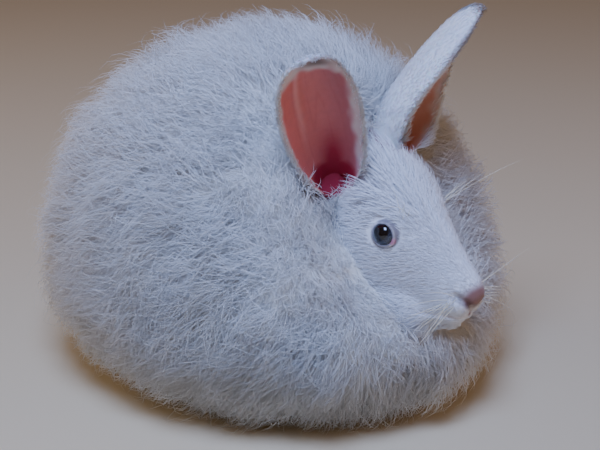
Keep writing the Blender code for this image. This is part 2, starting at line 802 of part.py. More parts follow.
def main():
    clear_scene()
    wool = material("wool", WHITE_WOOL, 0.9)
    fur = material("short_fur", SHORT_FUR, 0.8)
    ear_skin = material("ear_skin", EAR_SKIN, 0.6)
    eye_dark = material("eye", EYE_COLOUR, 0.08)

    head = make_head(fur)
    eyes = [make_eye("eye_left", 1, eye_dark), make_eye("eye_right", -1, eye_dark)]
    ears = [make_ear("ear_left", 1, ear_skin), make_ear("ear_right", -1, ear_skin)]
    fore = (FOREPAW_HEEL, FOREPAW_LENGTH, FOREPAW_HALF_WIDTH, FOREPAW_HEIGHT, math.radians(3))
    hind = (HIND_FOOT_HEEL, HIND_FOOT_LENGTH, HIND_FOOT_HALF_WIDTH, HIND_FOOT_HEIGHT, math.radians(9))
    feet = [
        make_foot("foreleg_left", 1, *fore, fur),
        make_foot("foreleg_right", -1, *fore, fur),
        make_foot("hindleg_left", 1, *hind, fur),
        make_foot("hindleg_right", -1, *hind, fur),
    ]
    torso = wool_core("torso", COAT_DEPTH - CORE_SETTLES, wool)
    neck = wool_core("neck", COAT_DEPTH - CORE_SETTLES, wool)
    tail = tube_solid("tail", lambda s, t: tail_shape(direction(s, t), TAIL_COAT_DEPTH), 8, 10, wool)

    for ear in ears:
        combine(ear, grown(head, GAP), "DIFFERENCE")
        keep_largest(ear)
    for eye in eyes:
        combine(head, grown(eye, GAP), "DIFFERENCE")

    core_surface = surface_of(torso)
    wool_sizes = (LOCK_REACH, LOCK_WIDTH, LOCK_THICKNESS, COAT_DEPTH, LOCK_ROOT_DEPTH)
    combine(neck, collar_zone("collar_zone", GAP), "INTERSECT")
    combine(torso, collar_zone("collar_zone", -GAP), "DIFFERENCE")
    wool_way = (coat_lie, wool_sizes, coat_depth_share)
    neck_plans = lock_plans(neck, core_surface, NECK_LOCKS, coat_grows, NECK_SEED, *wool_way)
    torso_plans = lock_plans(torso, core_surface, TORSO_LOCKS, torso_coat_grows, TORSO_SEED, *wool_way)
    head_sizes = (HEAD_LOCK_REACH, HEAD_LOCK_WIDTH, HEAD_LOCK_THICKNESS, HEAD_LOCK_DEPTH, 4 * MM)
    head_plans = lock_plans(head, surface_of(head), HEAD_LOCKS, cheek_grows, HEAD_SEED, head_lie, head_sizes)
    tail_sizes = (TAIL_LOCK_REACH, TAIL_LOCK_WIDTH, HEAD_LOCK_THICKNESS, TAIL_COAT_DEPTH, 5 * MM)
    tail_plans = lock_plans(tail, surface_of(tail), TAIL_LOCKS, tail_grows, TAIL_SEED, tail_lie, tail_sizes)

    combine_all(neck, locks_from("neck_lock", neck_plans), "UNION")
    combine_all(torso, locks_from("torso_lock", torso_plans), "UNION")
    combine(torso, collar_zone("collar_zone", -GAP), "DIFFERENCE")
    combine_all(torso, lock_rooms(neck_plans), "DIFFERENCE")
    combine_all(head, locks_from("head_lock", head_plans), "UNION")
    combine_all(tail, locks_from("tail_lock", tail_plans), "UNION")

    for wooly in (torso, neck):
        combine(wooly, floor_block(), "DIFFERENCE")
        combine(wooly, head_room(GAP), "DIFFERENCE")
        combine_all(wooly, lock_rooms(head_plans), "DIFFERENCE")
        combine_all(wooly, [ear_room(side, GAP) for side in (1, -1)], "DIFFERENCE")
        combine_all(wooly, [grown(foot, GAP) for foot in feet], "DIFFERENCE")
    tail_room = tube_solid("tail_room", lambda s, t: tail_shape(direction(s, t), TAIL_COAT_DEPTH - 2 * GAP), 8, 10)
    combine(torso, tail_room, "DIFFERENCE")
    combine_all(torso, lock_rooms(tail_plans), "DIFFERENCE")
    for node in (torso, neck, tail, head):
        keep_largest(node)


main()
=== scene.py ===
import math

import bpy
import numpy as np
from mathutils import Matrix, Vector
from mathutils.kdtree import KDTree


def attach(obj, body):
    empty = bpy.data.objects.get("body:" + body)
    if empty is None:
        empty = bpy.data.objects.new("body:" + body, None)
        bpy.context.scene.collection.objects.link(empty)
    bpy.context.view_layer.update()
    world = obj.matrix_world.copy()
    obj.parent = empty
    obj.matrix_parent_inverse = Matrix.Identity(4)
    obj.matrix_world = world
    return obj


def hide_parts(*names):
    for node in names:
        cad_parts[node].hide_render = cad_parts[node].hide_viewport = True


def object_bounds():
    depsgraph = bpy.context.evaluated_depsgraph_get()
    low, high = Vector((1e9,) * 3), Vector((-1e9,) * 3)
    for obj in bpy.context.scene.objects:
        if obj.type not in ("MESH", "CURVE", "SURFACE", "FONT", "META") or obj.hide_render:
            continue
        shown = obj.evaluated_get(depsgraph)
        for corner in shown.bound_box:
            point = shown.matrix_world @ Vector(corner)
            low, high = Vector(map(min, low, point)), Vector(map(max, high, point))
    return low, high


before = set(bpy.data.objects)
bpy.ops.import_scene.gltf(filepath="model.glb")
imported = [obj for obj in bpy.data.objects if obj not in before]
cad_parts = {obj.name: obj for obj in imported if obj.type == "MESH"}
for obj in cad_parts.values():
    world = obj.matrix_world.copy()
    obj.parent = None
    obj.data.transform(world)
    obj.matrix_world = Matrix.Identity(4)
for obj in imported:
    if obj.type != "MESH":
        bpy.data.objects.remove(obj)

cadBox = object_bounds()
mm = 0.001
shortThin = 1


def note(text):
    print("scene:", text, flush=True)


# Small tools for meshes

def unit(rows):
    return rows / np.maximum(np.linalg.norm(rows, axis=-1, keepdims=True), 1e-12)


def smoothStep(low, high, value):
    t = np.clip((value - low) / (high - low), 0, 1)
    return t * t * (3 - 2 * t)


def peak(away, wide):       # 1 at no distance and near 0 past twice the width
    return np.exp(-((away / wide) ** 2))


def waves(p, seed, scale, count=9):     # smooth noise between about -1 and 1 from a few crossing waves
    draw = np.random.default_rng(seed)
    total = np.zeros(len(p))
    for _ in range(count):
        way = unit(draw.normal(size=3)) * scale * draw.uniform(0.6, 1.5) * 2 * math.pi
        total += np.sin(p @ way + draw.uniform(0, 2 * math.pi))
    return total / math.sqrt(count)


def rowsOf(items, field):
    values = np.empty(len(items) * 3)
    items.foreach_get(field, values)
    return values.reshape(-1, 3)


def placesOf(piece):
    return rowsOf(piece.data.vertices, "co")


def putPlaces(piece, moved):
    piece.data.vertices.foreach_set("co", np.ascontiguousarray(moved, dtype=np.float32).ravel())
    piece.data.update()


def normalsOf(piece):
    return rowsOf(piece.data.vertex_normals, "vector")


def chosen(piece):      # the only piece selected, so that an operator acts on it alone
    bpy.ops.object.select_all(action="DESELECT")
    piece.select_set(True)
    bpy.context.view_layer.objects.active = piece
    return piece


def facingOut(piece):
    chosen(piece)
    bpy.ops.object.mode_set(mode="EDIT")
    bpy.ops.mesh.select_all(action="SELECT")
    bpy.ops.mesh.normals_make_consistent(inside=False)
    bpy.ops.object.mode_set(mode="OBJECT")
    return piece


def added(operator, **settings):
    bpy.ops.object.select_all(action="DESELECT")
    operator(**settings)
    return bpy.context.active_object


def addBall(name, segments, rings, centre=(0, 0, 0), radii=(1, 1, 1)):
    made = added(bpy.ops.mesh.primitive_uv_sphere_add, segments=segments, ring_count=rings, radius=1)
    made.name = made.data.name = name
    made.data.transform(Matrix.Translation(centre) @ Matrix.Diagonal((*radii, 1)))
    return made


def applied(piece, kind, **settings):
    change = piece.modifiers.new(kind.lower(), kind)
    for key, value in settings.items():
        setattr(change, key, value)
    chosen(piece)
    bpy.ops.object.modifier_apply(modifier=change.name)
    return piece


def boolean(piece, other, operation):
    applied(piece, "BOOLEAN", operation=operation, solver="MANIFOLD", object=other)
    bpy.data.objects.remove(other)
    return piece


def joined(pieces):
    chosen(pieces[0])
    for other in pieces[1:]:
        other.select_set(True)
    bpy.ops.object.join()
    return pieces[0]


# The ball of wool, out to the tips of its coat, and the hollow in front that the face looks out of

ball = {
    "front": 146 * mm, "rear": 170 * mm, "halfWidth": 136 * mm, "top": 148 * mm,
    "waist": 78 * mm, "rearWider": 0.13, "rearHigher": 0.11,
    "bellySquareness": 0.8, "bellyDeep": 78 * mm * 1.12,
    "coreDepth": 12 * mm, "rimRounding": 52 * mm, "skinGrain": 4 * mm, "restsAt": 2 * mm,
    "puffHigh": 2.7 * mm, "puffsEachMetre": 22,
}
bowl = {"centre": np.array((164, 0, 162)) * mm, "radii": np.array((112, 168, 98)) * mm}


def ballPlace(way, inset):
    x = (np.where(way[:, 0] > 0, ball["front"], ball["rear"]) - inset) * way[:, 0]
    y = (ball["halfWidth"] - inset) * way[:, 1] * (1 - ball["rearWider"] * way[:, 0])
    high = (ball["top"] * (1 - ball["rearHigher"] * way[:, 0]) - inset) * way[:, 2]
    low = -ball["bellyDeep"] * np.abs(way[:, 2]) ** ball["bellySquareness"]
    z = ball["waist"] + np.where(way[:, 2] > 0, high, low)
    return np.stack((x, y, z), 1)


def ballRadius(p):
    along = p[:, 0] / np.where(p[:, 0] > 0, ball["front"], ball["rear"])
    leaning = np.clip(along, -1, 1)
    across = p[:, 1] / (ball["halfWidth"] * (1 - ball["rearWider"] * leaning))
    rise = p[:, 2] - ball["waist"]
    above = np.maximum(rise, 0) / (ball["top"] * (1 - ball["rearHigher"] * leaning))
    below = (np.maximum(-rise, 0) / ball["bellyDeep"]) ** (1 / ball["bellySquareness"])
    return np.sqrt(along**2 + across**2 + (above + below) ** 2)


def bowlRadius(p):
    return np.linalg.norm((p - bowl["centre"]) / bowl["radii"], axis=1)


def slopeOf(field, p, step=0.7 * mm):
    return np.stack([(field(p + row) - field(p - row)) / (2 * step) for row in np.eye(3) * step], 1)


def distanceTo(radiusOf, p):        # about the distance outside a form whose surface has radius 1
    slope = np.linalg.norm(slopeOf(radiusOf, p), axis=1)
    return (radiusOf(p) - 1) / np.maximum(slope, 1e-6)


def coreLevel(p):       # height over the core that the coat grows from, its rim rounded
    outside = distanceTo(ballRadius, p) + ball["coreDepth"]
    hollow = -distanceTo(bowlRadius, p)
    close = np.maximum(ball["rimRounding"] - np.abs(outside - hollow), 0) / ball["rimRounding"]
    return np.maximum(outside, hollow) + close**2 * ball["rimRounding"] / 4


def puff(p):        # how far the soft swells of the coat stand out
    return waves(p, 71, ball["puffsEachMetre"]) * ball["puffHigh"]


def makeTrunk():
    trunk = addBall("rabbitSkin", 72, 48)
    putPlaces(trunk, ballPlace(unit(placesOf(trunk)), ball["coreDepth"]))
    hollow = addBall("hollow", 64, 40, bowl["centre"], bowl["radii"])
    boolean(trunk, hollow, "DIFFERENCE")
    applied(trunk, "REMESH", mode="VOXEL", voxel_size=ball["skinGrain"])
    applied(trunk, "SMOOTH", factor=0.6, iterations=14)
    p = placesOf(trunk)
    for _ in range(3):
        p -= unit(slopeOf(coreLevel, p)) * (coreLevel(p) - puff(p))[:, None] * 0.7
    p[:, 2] = np.maximum(p[:, 2], ball["restsAt"])
    putPlaces(trunk, p)
    for side in (1, -1):
        rise, opens, _, root = earAxes(side)
        middle = root + rise * ears[side]["length"] * ears["roomShare"] + opens * ears["roomForward"]
        room = addBall("earRoom", 40, 28, fromHead(middle), Vector(ears["room"]) * mm)
        boolean(trunk, room, "DIFFERENCE")
    applied(trunk, "REMESH", mode="VOXEL", voxel_size=ball["skinGrain"])
    return trunk


# Head, shaped in its own frame: X along the skull towards the nose, its middle between the eyes

head = {
    "centre": Vector((90.5, 0, 116.5)) * mm, "pitch": 21, "turn": 1, "inset": 1.0 * mm,
    "stations": np.array((      # place along the skull, half width, top, bottom
        (-60, 2, 4, -4), (-56, 17, 19, -18), (-44, 27, 30, -33), (-24, 31, 35, -42), (-4, 31, 31.5, -46),
        (16, 26, 23, -47), (34, 19, 14, -43), (46, 15.5, 8.5, -38), (54, 12.5, 5.5, -32),
        (60, 9.5, 2.5, -23), (63, 6, 0, -13), (64.5, 1, -3, -6),
    )) * mm,
    "squareness": 0.92, "roughGrain": 1.6 * mm, "grain": 0.85 * mm,
}
muzzle = {
    "nosePad": ((60.5, 0, -3.6), (4.3, 6.0, 4.4)), "whiskerPad": ((52.5, 6.6, -13.5), (9.5, 8.0, 8.6)),
    "chin": ((48, 0, -29), (10, 9, 7)), "cheek": ((22, 12, -33), (24, 16, 18)),
    "bareNose": ((61.0, 0, -6.0), (9.0, 10.5, 8.0)),
    "nostril": (
        (61.2, 1.4, -13.6), (60.6, 4.6, -11.6), (59.8, 8, -9.2), (56.8, 10.2, -8.2), (53.8, 11.3, -7.6),
    ),
    "philtrum": ((62.4, 0, -12.5), (61.4, 0, -16), (60.0, 0, -19.6)),
    "mouth": ((61.2, 0, -17.6), (58.8, 5.6, -20), (52.6, 11.5, -22.4), (44.6, 16, -25), (37, 19, -27)),
    "nostrilWide": 2.4 * mm, "nostrilDeep": 2.8 * mm, "lineWide": 1.25 * mm, "lineDeep": 1.0 * mm,
    "lipWide": 2.2 * mm, "lipHigh": 0.9 * mm, "lipDrop": 2.4 * mm,
}
headMatrix = Matrix.Rotation(math.radians(head["turn"]), 4, "Z")
headMatrix = headMatrix @ Matrix.Rotation(math.radians(head["pitch"]), 4, "Y")
headMatrix = Matrix.Translation(head["centre"]) @ headMatrix
headAxes = np.array(headMatrix.to_3x3())
headOrigin = np.array(head["centre"])


def toHead(p):
    return (p - headOrigin) @ headAxes


def fromHead(p):
    return p @ headAxes.T + headOrigin


def alongTable(table, place):       # smooth values at places along a table whose first column is the place
    place = np.clip(place, table[0, 0], table[-1, 0])
    i = np.clip(np.searchsorted(table[:, 0], place) - 1, 0, len(table) - 2)
    low, high = table[i], table[i + 1]
    before, after = table[np.maximum(i - 1, 0)], table[np.minimum(i + 2, len(table) - 1)]
    step = (high[:, 0] - low[:, 0])[:, None]
    t = (place - low[:, 0])[:, None] / step
    slopeLow = (high - before) / (high[:, :1] - before[:, :1]) * step
    slopeHigh = (after - low) / (after[:, :1] - low[:, :1]) * step
    value = (2 * t**3 - 3 * t**2 + 1) * low + (t**3 - 2 * t**2 + t) * slopeLow
    value += (3 * t**2 - 2 * t**3) * high + (t**3 - t**2) * slopeHigh
    return value[:, 1:]


def signedPower(value, power):
    return np.sign(value) * np.abs(value) ** power


def headPlace(way):
    start, end = head["stations"][0, 0], head["stations"][-1, 0]
    x = start + (end - start) * (1 + way[:, 0]) / 2
    halfWidth, top, bottom = alongTable(head["stations"], x).T
    middle = 0.42 * top + 0.58 * bottom
    girth = np.maximum(np.hypot(way[:, 1], way[:, 2]), 1e-9)
    y = halfWidth * signedPower(way[:, 1] / girth, head["squareness"])
    up = signedPower(way[:, 2] / girth, head["squareness"])
    return np.stack((x, y, middle + np.where(up > 0, top - middle, middle - bottom) * up), 1)


def headFit(h):     # below 1 inside the head, above 1 outside
    halfWidth, top, bottom = alongTable(head["stations"], h[:, 0]).T
    middle = 0.42 * top + 0.58 * bottom
    tall = np.where(h[:, 2] > middle, top - middle, middle - bottom)
    beyond = np.maximum(np.maximum(h[:, 0] - head["stations"][-1, 0], head["stations"][0, 0] - h[:, 0]), 0)
    return np.hypot(h[:, 1] / halfWidth, (h[:, 2] - middle) / tall) + beyond / (5 * mm)


def mirrored(row, side):
    return (row[0], row[1] * side, row[2])


def headForm(name, side):
    centre, radii = muzzle[name]
    radii = Vector(radii) * mm - Vector([head["inset"]] * 3)
    return addBall(name, 32, 20, Vector(mirrored(centre, side)) * mm, radii)


def distanceToLine(h, line):        # nearest distance from places to a line of points
    line = np.array(line) * mm
    best = np.full(len(h), 1.0)
    for a, b in zip(line[:-1], line[1:]):
        share = np.clip(((h - a) @ (b - a)) / ((b - a) @ (b - a)), 0, 1)[:, None]
        best = np.minimum(best, np.linalg.norm(h - a - share * (b - a), axis=1))
    return best


def muzzleLines(h):     # how near places are to the nostrils, philtrum, mouth and lip, from 0 to 1
    h = np.stack((h[:, 0], np.abs(h[:, 1]), h[:, 2]), 1)
    lip = np.array(muzzle["mouth"]) - np.array((0, 0, muzzle["lipDrop"] / mm))
    lines = ((muzzle["nostril"], "nostrilWide"), (muzzle["philtrum"], "lineWide"),
             (muzzle["mouth"], "lineWide"), (lip, "lipWide"))
    return [peak(distanceToLine(h, line), muzzle[wide]) for line, wide in lines]


# Eyes: a ball behind lids, with the iris and the pupil on it

eyes = {
    "radius": 8.6 * mm, "place": (1.5, 22.6, 7), "look": (0.17, 1.0, 0.26), "gaze": (-0.10, 1.0, 0.46),
    "clearance": 0.12 * mm, "lidReach": 5.5 * mm, "lidHalfLength": 6.9 * mm, "lidHalfHeight": 6.6 * mm,
    "lidThick": 0.8 * mm, "cornerDrawn": 0.13, "cornerSunk": 0.8 * mm,
    "mound": 9.6 * mm, "moundSunk": 1.5 * mm,
    "stops": (      # from the middle of the pupil, 1 at a right angle, and the colour there
        (0.0, (0.003, 0.003, 0.005)), (0.38, (0.004, 0.004, 0.007)), (0.44, (0.02, 0.025, 0.04)),
        (0.56, (0.04, 0.05, 0.075)), (0.66, (0.022, 0.027, 0.04)), (0.74, (0.01, 0.01, 0.016)),
    ),
}


def eyeCentre(side):
    return np.array(mirrored(eyes["place"], side)) * mm


def eyeAxes(side):
    look = Vector(mirrored(eyes["look"], side)).normalized()
    ahead = Vector((1, 0, -0.28))
    ahead = (ahead - look * look.dot(ahead)).normalized()
    return np.array(look), np.array(ahead), np.array(look.cross(ahead) * side)


def makeLids(side):     # a ring that is longer than high and drawn to its corners
    look, ahead, above = eyeAxes(side)
    tube = 0.2
    lids = added(bpy.ops.mesh.primitive_torus_add, major_segments=72, minor_segments=14, major_radius=1,
                 minor_radius=tube)
    p = placesOf(lids)
    turn = np.arctan2(p[:, 1], p[:, 0])
    around, out = np.hypot(p[:, 0], p[:, 1]) - 1, p[:, 2]
    corner = 1 + eyes["cornerDrawn"] * np.cos(turn) ** 8
    ring = ahead * (np.cos(turn) * eyes["lidHalfLength"] * corner)[:, None]
    ring = ring + above * (np.sin(turn) * eyes["lidHalfHeight"])[:, None]
    thick = eyes["lidThick"] / tube
    reach = eyes["lidReach"] - eyes["cornerSunk"] * np.cos(turn) ** 4
    rim = eyeCentre(side) + look * reach[:, None]
    putPlaces(lids, rim + ring + unit(ring) * around[:, None] * thick + look * out[:, None] * thick)
    applied(lids, "WELD", merge_threshold=1e-6)
    return facingOut(lids)


def makeHead():
    skull = addBall("head", 120, 90)
    way = unit(placesOf(skull))[:, [2, 0, 1]]
    putPlaces(skull, headPlace(way))
    facingOut(skull)
    putPlaces(skull, placesOf(skull) - normalsOf(skull) * head["inset"])
    forms = [skull, headForm("nosePad", 1), headForm("chin", 1)]
    for side in (1, -1):
        forms += [headForm(name, side) for name in ("whiskerPad", "cheek")]
    skull = joined(forms)
    applied(skull, "REMESH", mode="VOXEL", voxel_size=head["roughGrain"])
    applied(skull, "SMOOTH", factor=0.6, iterations=9)
    lids = []
    for side in (1, -1):
        mound = eyeCentre(side) - eyeAxes(side)[0] * eyes["moundSunk"]
        lids += [addBall("mound", 64, 48, mound, [eyes["mound"]] * 3), makeLids(side)]
    skull = joined([skull] + lids)
    applied(skull, "REMESH", mode="VOXEL", voxel_size=head["grain"])
    applied(skull, "SMOOTH", factor=0.5, iterations=4)
    h, out = placesOf(skull), normalsOf(skull)
    nostril, philtrum, mouth, lip = muzzleLines(h)
    lift = lip * muzzle["lipHigh"] - nostril * muzzle["nostrilDeep"]
    lift -= np.maximum(philtrum, mouth) * muzzle["lineDeep"]
    putPlaces(skull, h + out * lift[:, None])
    for side in (1, -1):
        wide = eyes["radius"] + eyes["clearance"]
        socket = addBall("socket", 64, 48, Vector(mirrored(eyes["place"], side)) * mm, (wide, wide, wide))
        boolean(skull, socket, "DIFFERENCE")
        boolean(skull, earCanal(side), "DIFFERENCE")
    skull.data.transform(headMatrix)
    return skull


# Ears: a cupped sheet that opens towards the straight way, given its thickness

ears = {
    1: {"root": (-54.2, 18.1, 21.2), "rise": (0.121, 0.327, 0.937), "opens": (1, -0.072, 0),
        "length": 111.5 * mm, "wider": 1.075, "closer": 1.2, "back": -11.4 * mm,
        "lean": 5.6 * mm, "twist": 53.5},
    -1: {"root": (-47, 22, 14), "rise": (0.05, 0.555, 0.83), "opens": (0.88, 0.47, 0),
         "length": 107 * mm, "wider": 1.0, "closer": 1.0, "back": 4 * mm, "lean": 0, "twist": 0},
    "thick": 1.7 * mm, "foldHigh": 1.1 * mm, "rows": 84, "columns": 60,
    "canal": (11, 11, 24), "canalRise": 14 * mm, "canalForward": 1 * mm,
    "room": (20, 20, 25), "roomShare": 0.19, "roomForward": 3 * mm,
    "stations": np.array((      # share of the length, half width, half angle of the cup
        (0, 9, 150), (0.12, 13, 128), (0.28, 19.5, 92), (0.45, 23, 72), (0.62, 24, 60),
        (0.78, 21.5, 50), (0.90, 15.5, 40), (0.97, 8.5, 30), (1, 3, 20),
    )) * (1, mm, math.pi / 180),
}


def earAxes(side):      # ways that an ear rises, opens and spreads, and its root, in the frame of the head
    rise = Vector(mirrored(ears[side]["rise"], side)).normalized()
    opens = Vector(mirrored(ears[side]["opens"], side)).normalized()
    opens = (opens - rise * opens.dot(rise)).normalized()
    root = np.array(mirrored(ears[side]["root"], side)) * mm
    return np.array(rise), np.array(opens), np.array(rise.cross(opens)), root


def earTurned(side, share):     # the ways that an ear opens and spreads, part of the way up its twist
    _, opens, spread, _ = earAxes(side)
    twist = (math.radians(ears[side]["twist"]) * np.clip(share, 0, 1) ** 1.3)[:, None]
    return opens * np.cos(twist) + spread * np.sin(twist), spread * np.cos(twist) - opens * np.sin(twist)


def earCup(side, share):        # radius and half angle of the cup
    halfWidth, cup = alongTable(ears["stations"], share).T
    halfWidth, cup = halfWidth * ears[side]["wider"], cup * ears[side]["closer"]
    return halfWidth / np.sin(np.minimum(cup, math.pi / 2)), cup


def earPlace(side, across, share):
    rise, _, _, root = earAxes(side)
    opens, spread = earTurned(side, share)
    radius, cup = earCup(side, share)
    turn = cup * across
    fold = peak(across + 0.3, 0.09) * np.sin(math.pi * smoothStep(0.3, 1, share)) * ears["foldHigh"]
    forward = radius * (1 - np.cos(turn)) - ears[side]["back"] * share**2 - radius * 0.55 + fold
    aside = radius * np.sin(turn) + ears[side]["lean"] * share**2
    place = root + rise * (ears[side]["length"] * share)[:, None]
    return place + spread * aside[:, None] + opens * forward[:, None]


def canalMiddle(side):
    rise, opens, _, root = earAxes(side)
    return root + rise * ears["canalRise"] + opens * ears["canalForward"]


def earCanal(side):
    canal = addBall("canal", 32, 20, (0, 0, 0), Vector(ears["canal"]) * mm)
    canal.data.transform(Vector(earAxes(side)[0]).to_track_quat("Z", "Y").to_matrix().to_4x4())
    canal.data.transform(Matrix.Translation(Vector(canalMiddle(side))))
    return canal


def canalFit(side, h):      # below 1 inside the canal
    rise, away = earAxes(side)[0], h - canalMiddle(side)
    aside = away - np.outer(away @ rise, rise)
    return np.hypot(np.linalg.norm(aside, axis=1) / ears["canal"][0], (away @ rise) / ears["canal"][2]) / mm


def makeEar(side):
    columns, rows = ears["columns"], ears["rows"]
    ear = added(bpy.ops.mesh.primitive_grid_add, x_subdivisions=columns, y_subdivisions=rows, size=2)
    p = placesOf(ear)
    share = 1 - (1 - (p[:, 1] + 1) / 2) ** 1.25
    putPlaces(ear, fromHead(earPlace(side, p[:, 0], share)))
    applied(ear, "SOLIDIFY", thickness=ears["thick"], offset=0)
    applied(ear, "SMOOTH", factor=0.5, iterations=2)
    return facingOut(ear)


# Feet and tail, which the wool hides when the rabbit rests

feet = {
    "fore": {"heel": (42, 20, 0), "length": 42 * mm, "halfWidth": 10 * mm, "height": 17 * mm, "splay": 3},
    "hind": {"heel": (-62, 58, 0), "length": 92 * mm, "halfWidth": 14 * mm, "height": 22 * mm, "splay": 9},
}
tail = {"centre": (-149, 0, 86), "radii": (19, 12, 12), "rise": 38}


def makeFoot(side, spec):
    foot = addBall("foot", 48, 32)
    way = unit(placesOf(foot))[:, [2, 0, 1]]
    share = np.arccos(np.clip(-way[:, 0], -1, 1)) / math.pi
    girth = np.maximum(np.hypot(way[:, 1], way[:, 2]), 1e-9)
    body = girth**0.55
    toes = 1 - 0.12 * smoothStep(0.7, 0.95, share) * (1 - np.abs(np.cos(way[:, 1] / girth * 2 * math.pi)))
    x = spec["length"] * (1 + way[:, 0]) / 2
    y = spec["halfWidth"] * body * way[:, 1] / girth * (0.86 + 0.14 * share)
    z = spec["height"] * (0.42 + (1 - 0.35 * share) * body * 0.6 * way[:, 2] / girth) * toes
    putPlaces(foot, np.stack((x, y, np.maximum(z, 0.8 * mm)), 1))
    facingOut(foot)
    splay = Matrix.Rotation(math.radians(spec["splay"]) * side, 4, "Z")
    foot.data.transform(Matrix.Translation(Vector(mirrored(spec["heel"], side)) * mm) @ splay)
    return foot


def makeTail():
    made = addBall("tail", 32, 20, (0, 0, 0), Vector(tail["radii"]) * mm)
    made.data.transform(Matrix.Rotation(math.radians(tail["rise"]), 4, "Y"))
    made.data.transform(Matrix.Translation(Vector(tail["centre"]) * mm))
    return made


# Colours, as seen in even white light; the wool's roots, the far ear's brown, the ear's deep red, the nostrils
# and the mouth lines also hold painted shade

tones = {
    # the wool's root colour is its white made darker and warmer: painted shade deep in the coat
    "woolTip": (0.93, 0.915, 0.86), "woolRootShaded": (0.90, 0.88, 0.81), "faceFur": (0.91, 0.92, 0.95),
    "earPink": (0.68, 0.21, 0.20), "earMauve": (0.46, 0.16, 0.19), "earOrange": (0.73, 0.21, 0.19),
    # the deep ear colour is the ear's red skin darkened with painted shade in the canal and the bottom of the
    # cup
    "earDeepRedAndShade": (0.40, 0.02, 0.05), "earVein": (0.45, 0.05, 0.06), "earFold": (0.85, 0.46, 0.42),
    # the ear brown is painted warm shade, laid over the far ear's inside only
    "earShadeBrown": (0.66, 0.41, 0.31), "earRim": (0.74, 0.68, 0.66), "earSmudge": (0.17, 0.12, 0.10),
    "earTip": (0.26, 0.21, 0.18),
    # the nostril colour is painted shade in the slits; the mouth colour is the mouth's red skin darkened with
    # painted shade in its clefts
    "nosePink": (0.27, 0.13, 0.11), "nostrilShade": (0.07, 0.008, 0.012), "mouthRedAndShade": (0.20, 0.05, 0.06),
    "tearPink": (0.66, 0.22, 0.34), "lidDark": (0.16, 0.13, 0.16),
}
tones = {name: np.array(colour) for name, colour in tones.items()}
earMarks = {        # places are shares of the length, or of the half width towards the middle of the head
    "foldAt": -0.34, "foldWide": 0.07, "foldShare": 0.4, "veinShare": 0.15, "deepWide": 0.26, "ragged": 0.03,
    "outerRim": (0.78, 0.92), "innerRim": (0.62, 0.84), "topRim": (0.80, 0.86), "rimShare": 0.92,
    # the brown share paints warm shade on the far ear (side 1) and none on the near ear
    "smudgeAt": (0.35, 0.895), "smudgeWide": (0.5, 0.045), "shadeBrownShare": {1: 0.75, -1: 0.0},
    "darkEdge": {1: 1.0, -1: 0.3}, "darkTip": {1: 0.6, -1: 0.25}, "darkShare": 0.75,
}


def mixed(base, colour, share):
    return base + (np.array(colour) - base) * np.asarray(share)[..., None]


class EarMap:       # where places lie on an ear: across from -1 to 1, share of the length, and the inner side
    def __init__(self, side):
        across, share = np.meshgrid(np.linspace(-1, 1, 61), np.linspace(0, 1, 101))
        self.across, self.share = across.ravel(), share.ravel()
        self.middle = fromHead(earPlace(side, self.across, self.share))
        step = 0.01
        wide = fromHead(earPlace(side, self.across + step, self.share)) - self.middle
        tall = fromHead(earPlace(side, self.across, np.minimum(self.share, 0.98) + step))
        tall = tall - fromHead(earPlace(side, self.across, np.minimum(self.share, 0.98)))
        self.inward = unit(np.cross(tall, wide))
        opens = headAxes @ earAxes(side)[1]
        self.inward *= np.sign(np.sum(self.inward * opens, 1).sum())
        self.tall, self.wide = unit(tall), unit(wide)
        self.tree = KDTree(len(self.middle))
        for i, place in enumerate(self.middle):
            self.tree.insert(place, i)
        self.tree.balance()

    def nearest(self, p):
        return np.array([self.tree.find(row)[1] for row in p], int)


earMaps = {side: EarMap(side) for side in (1, -1)}


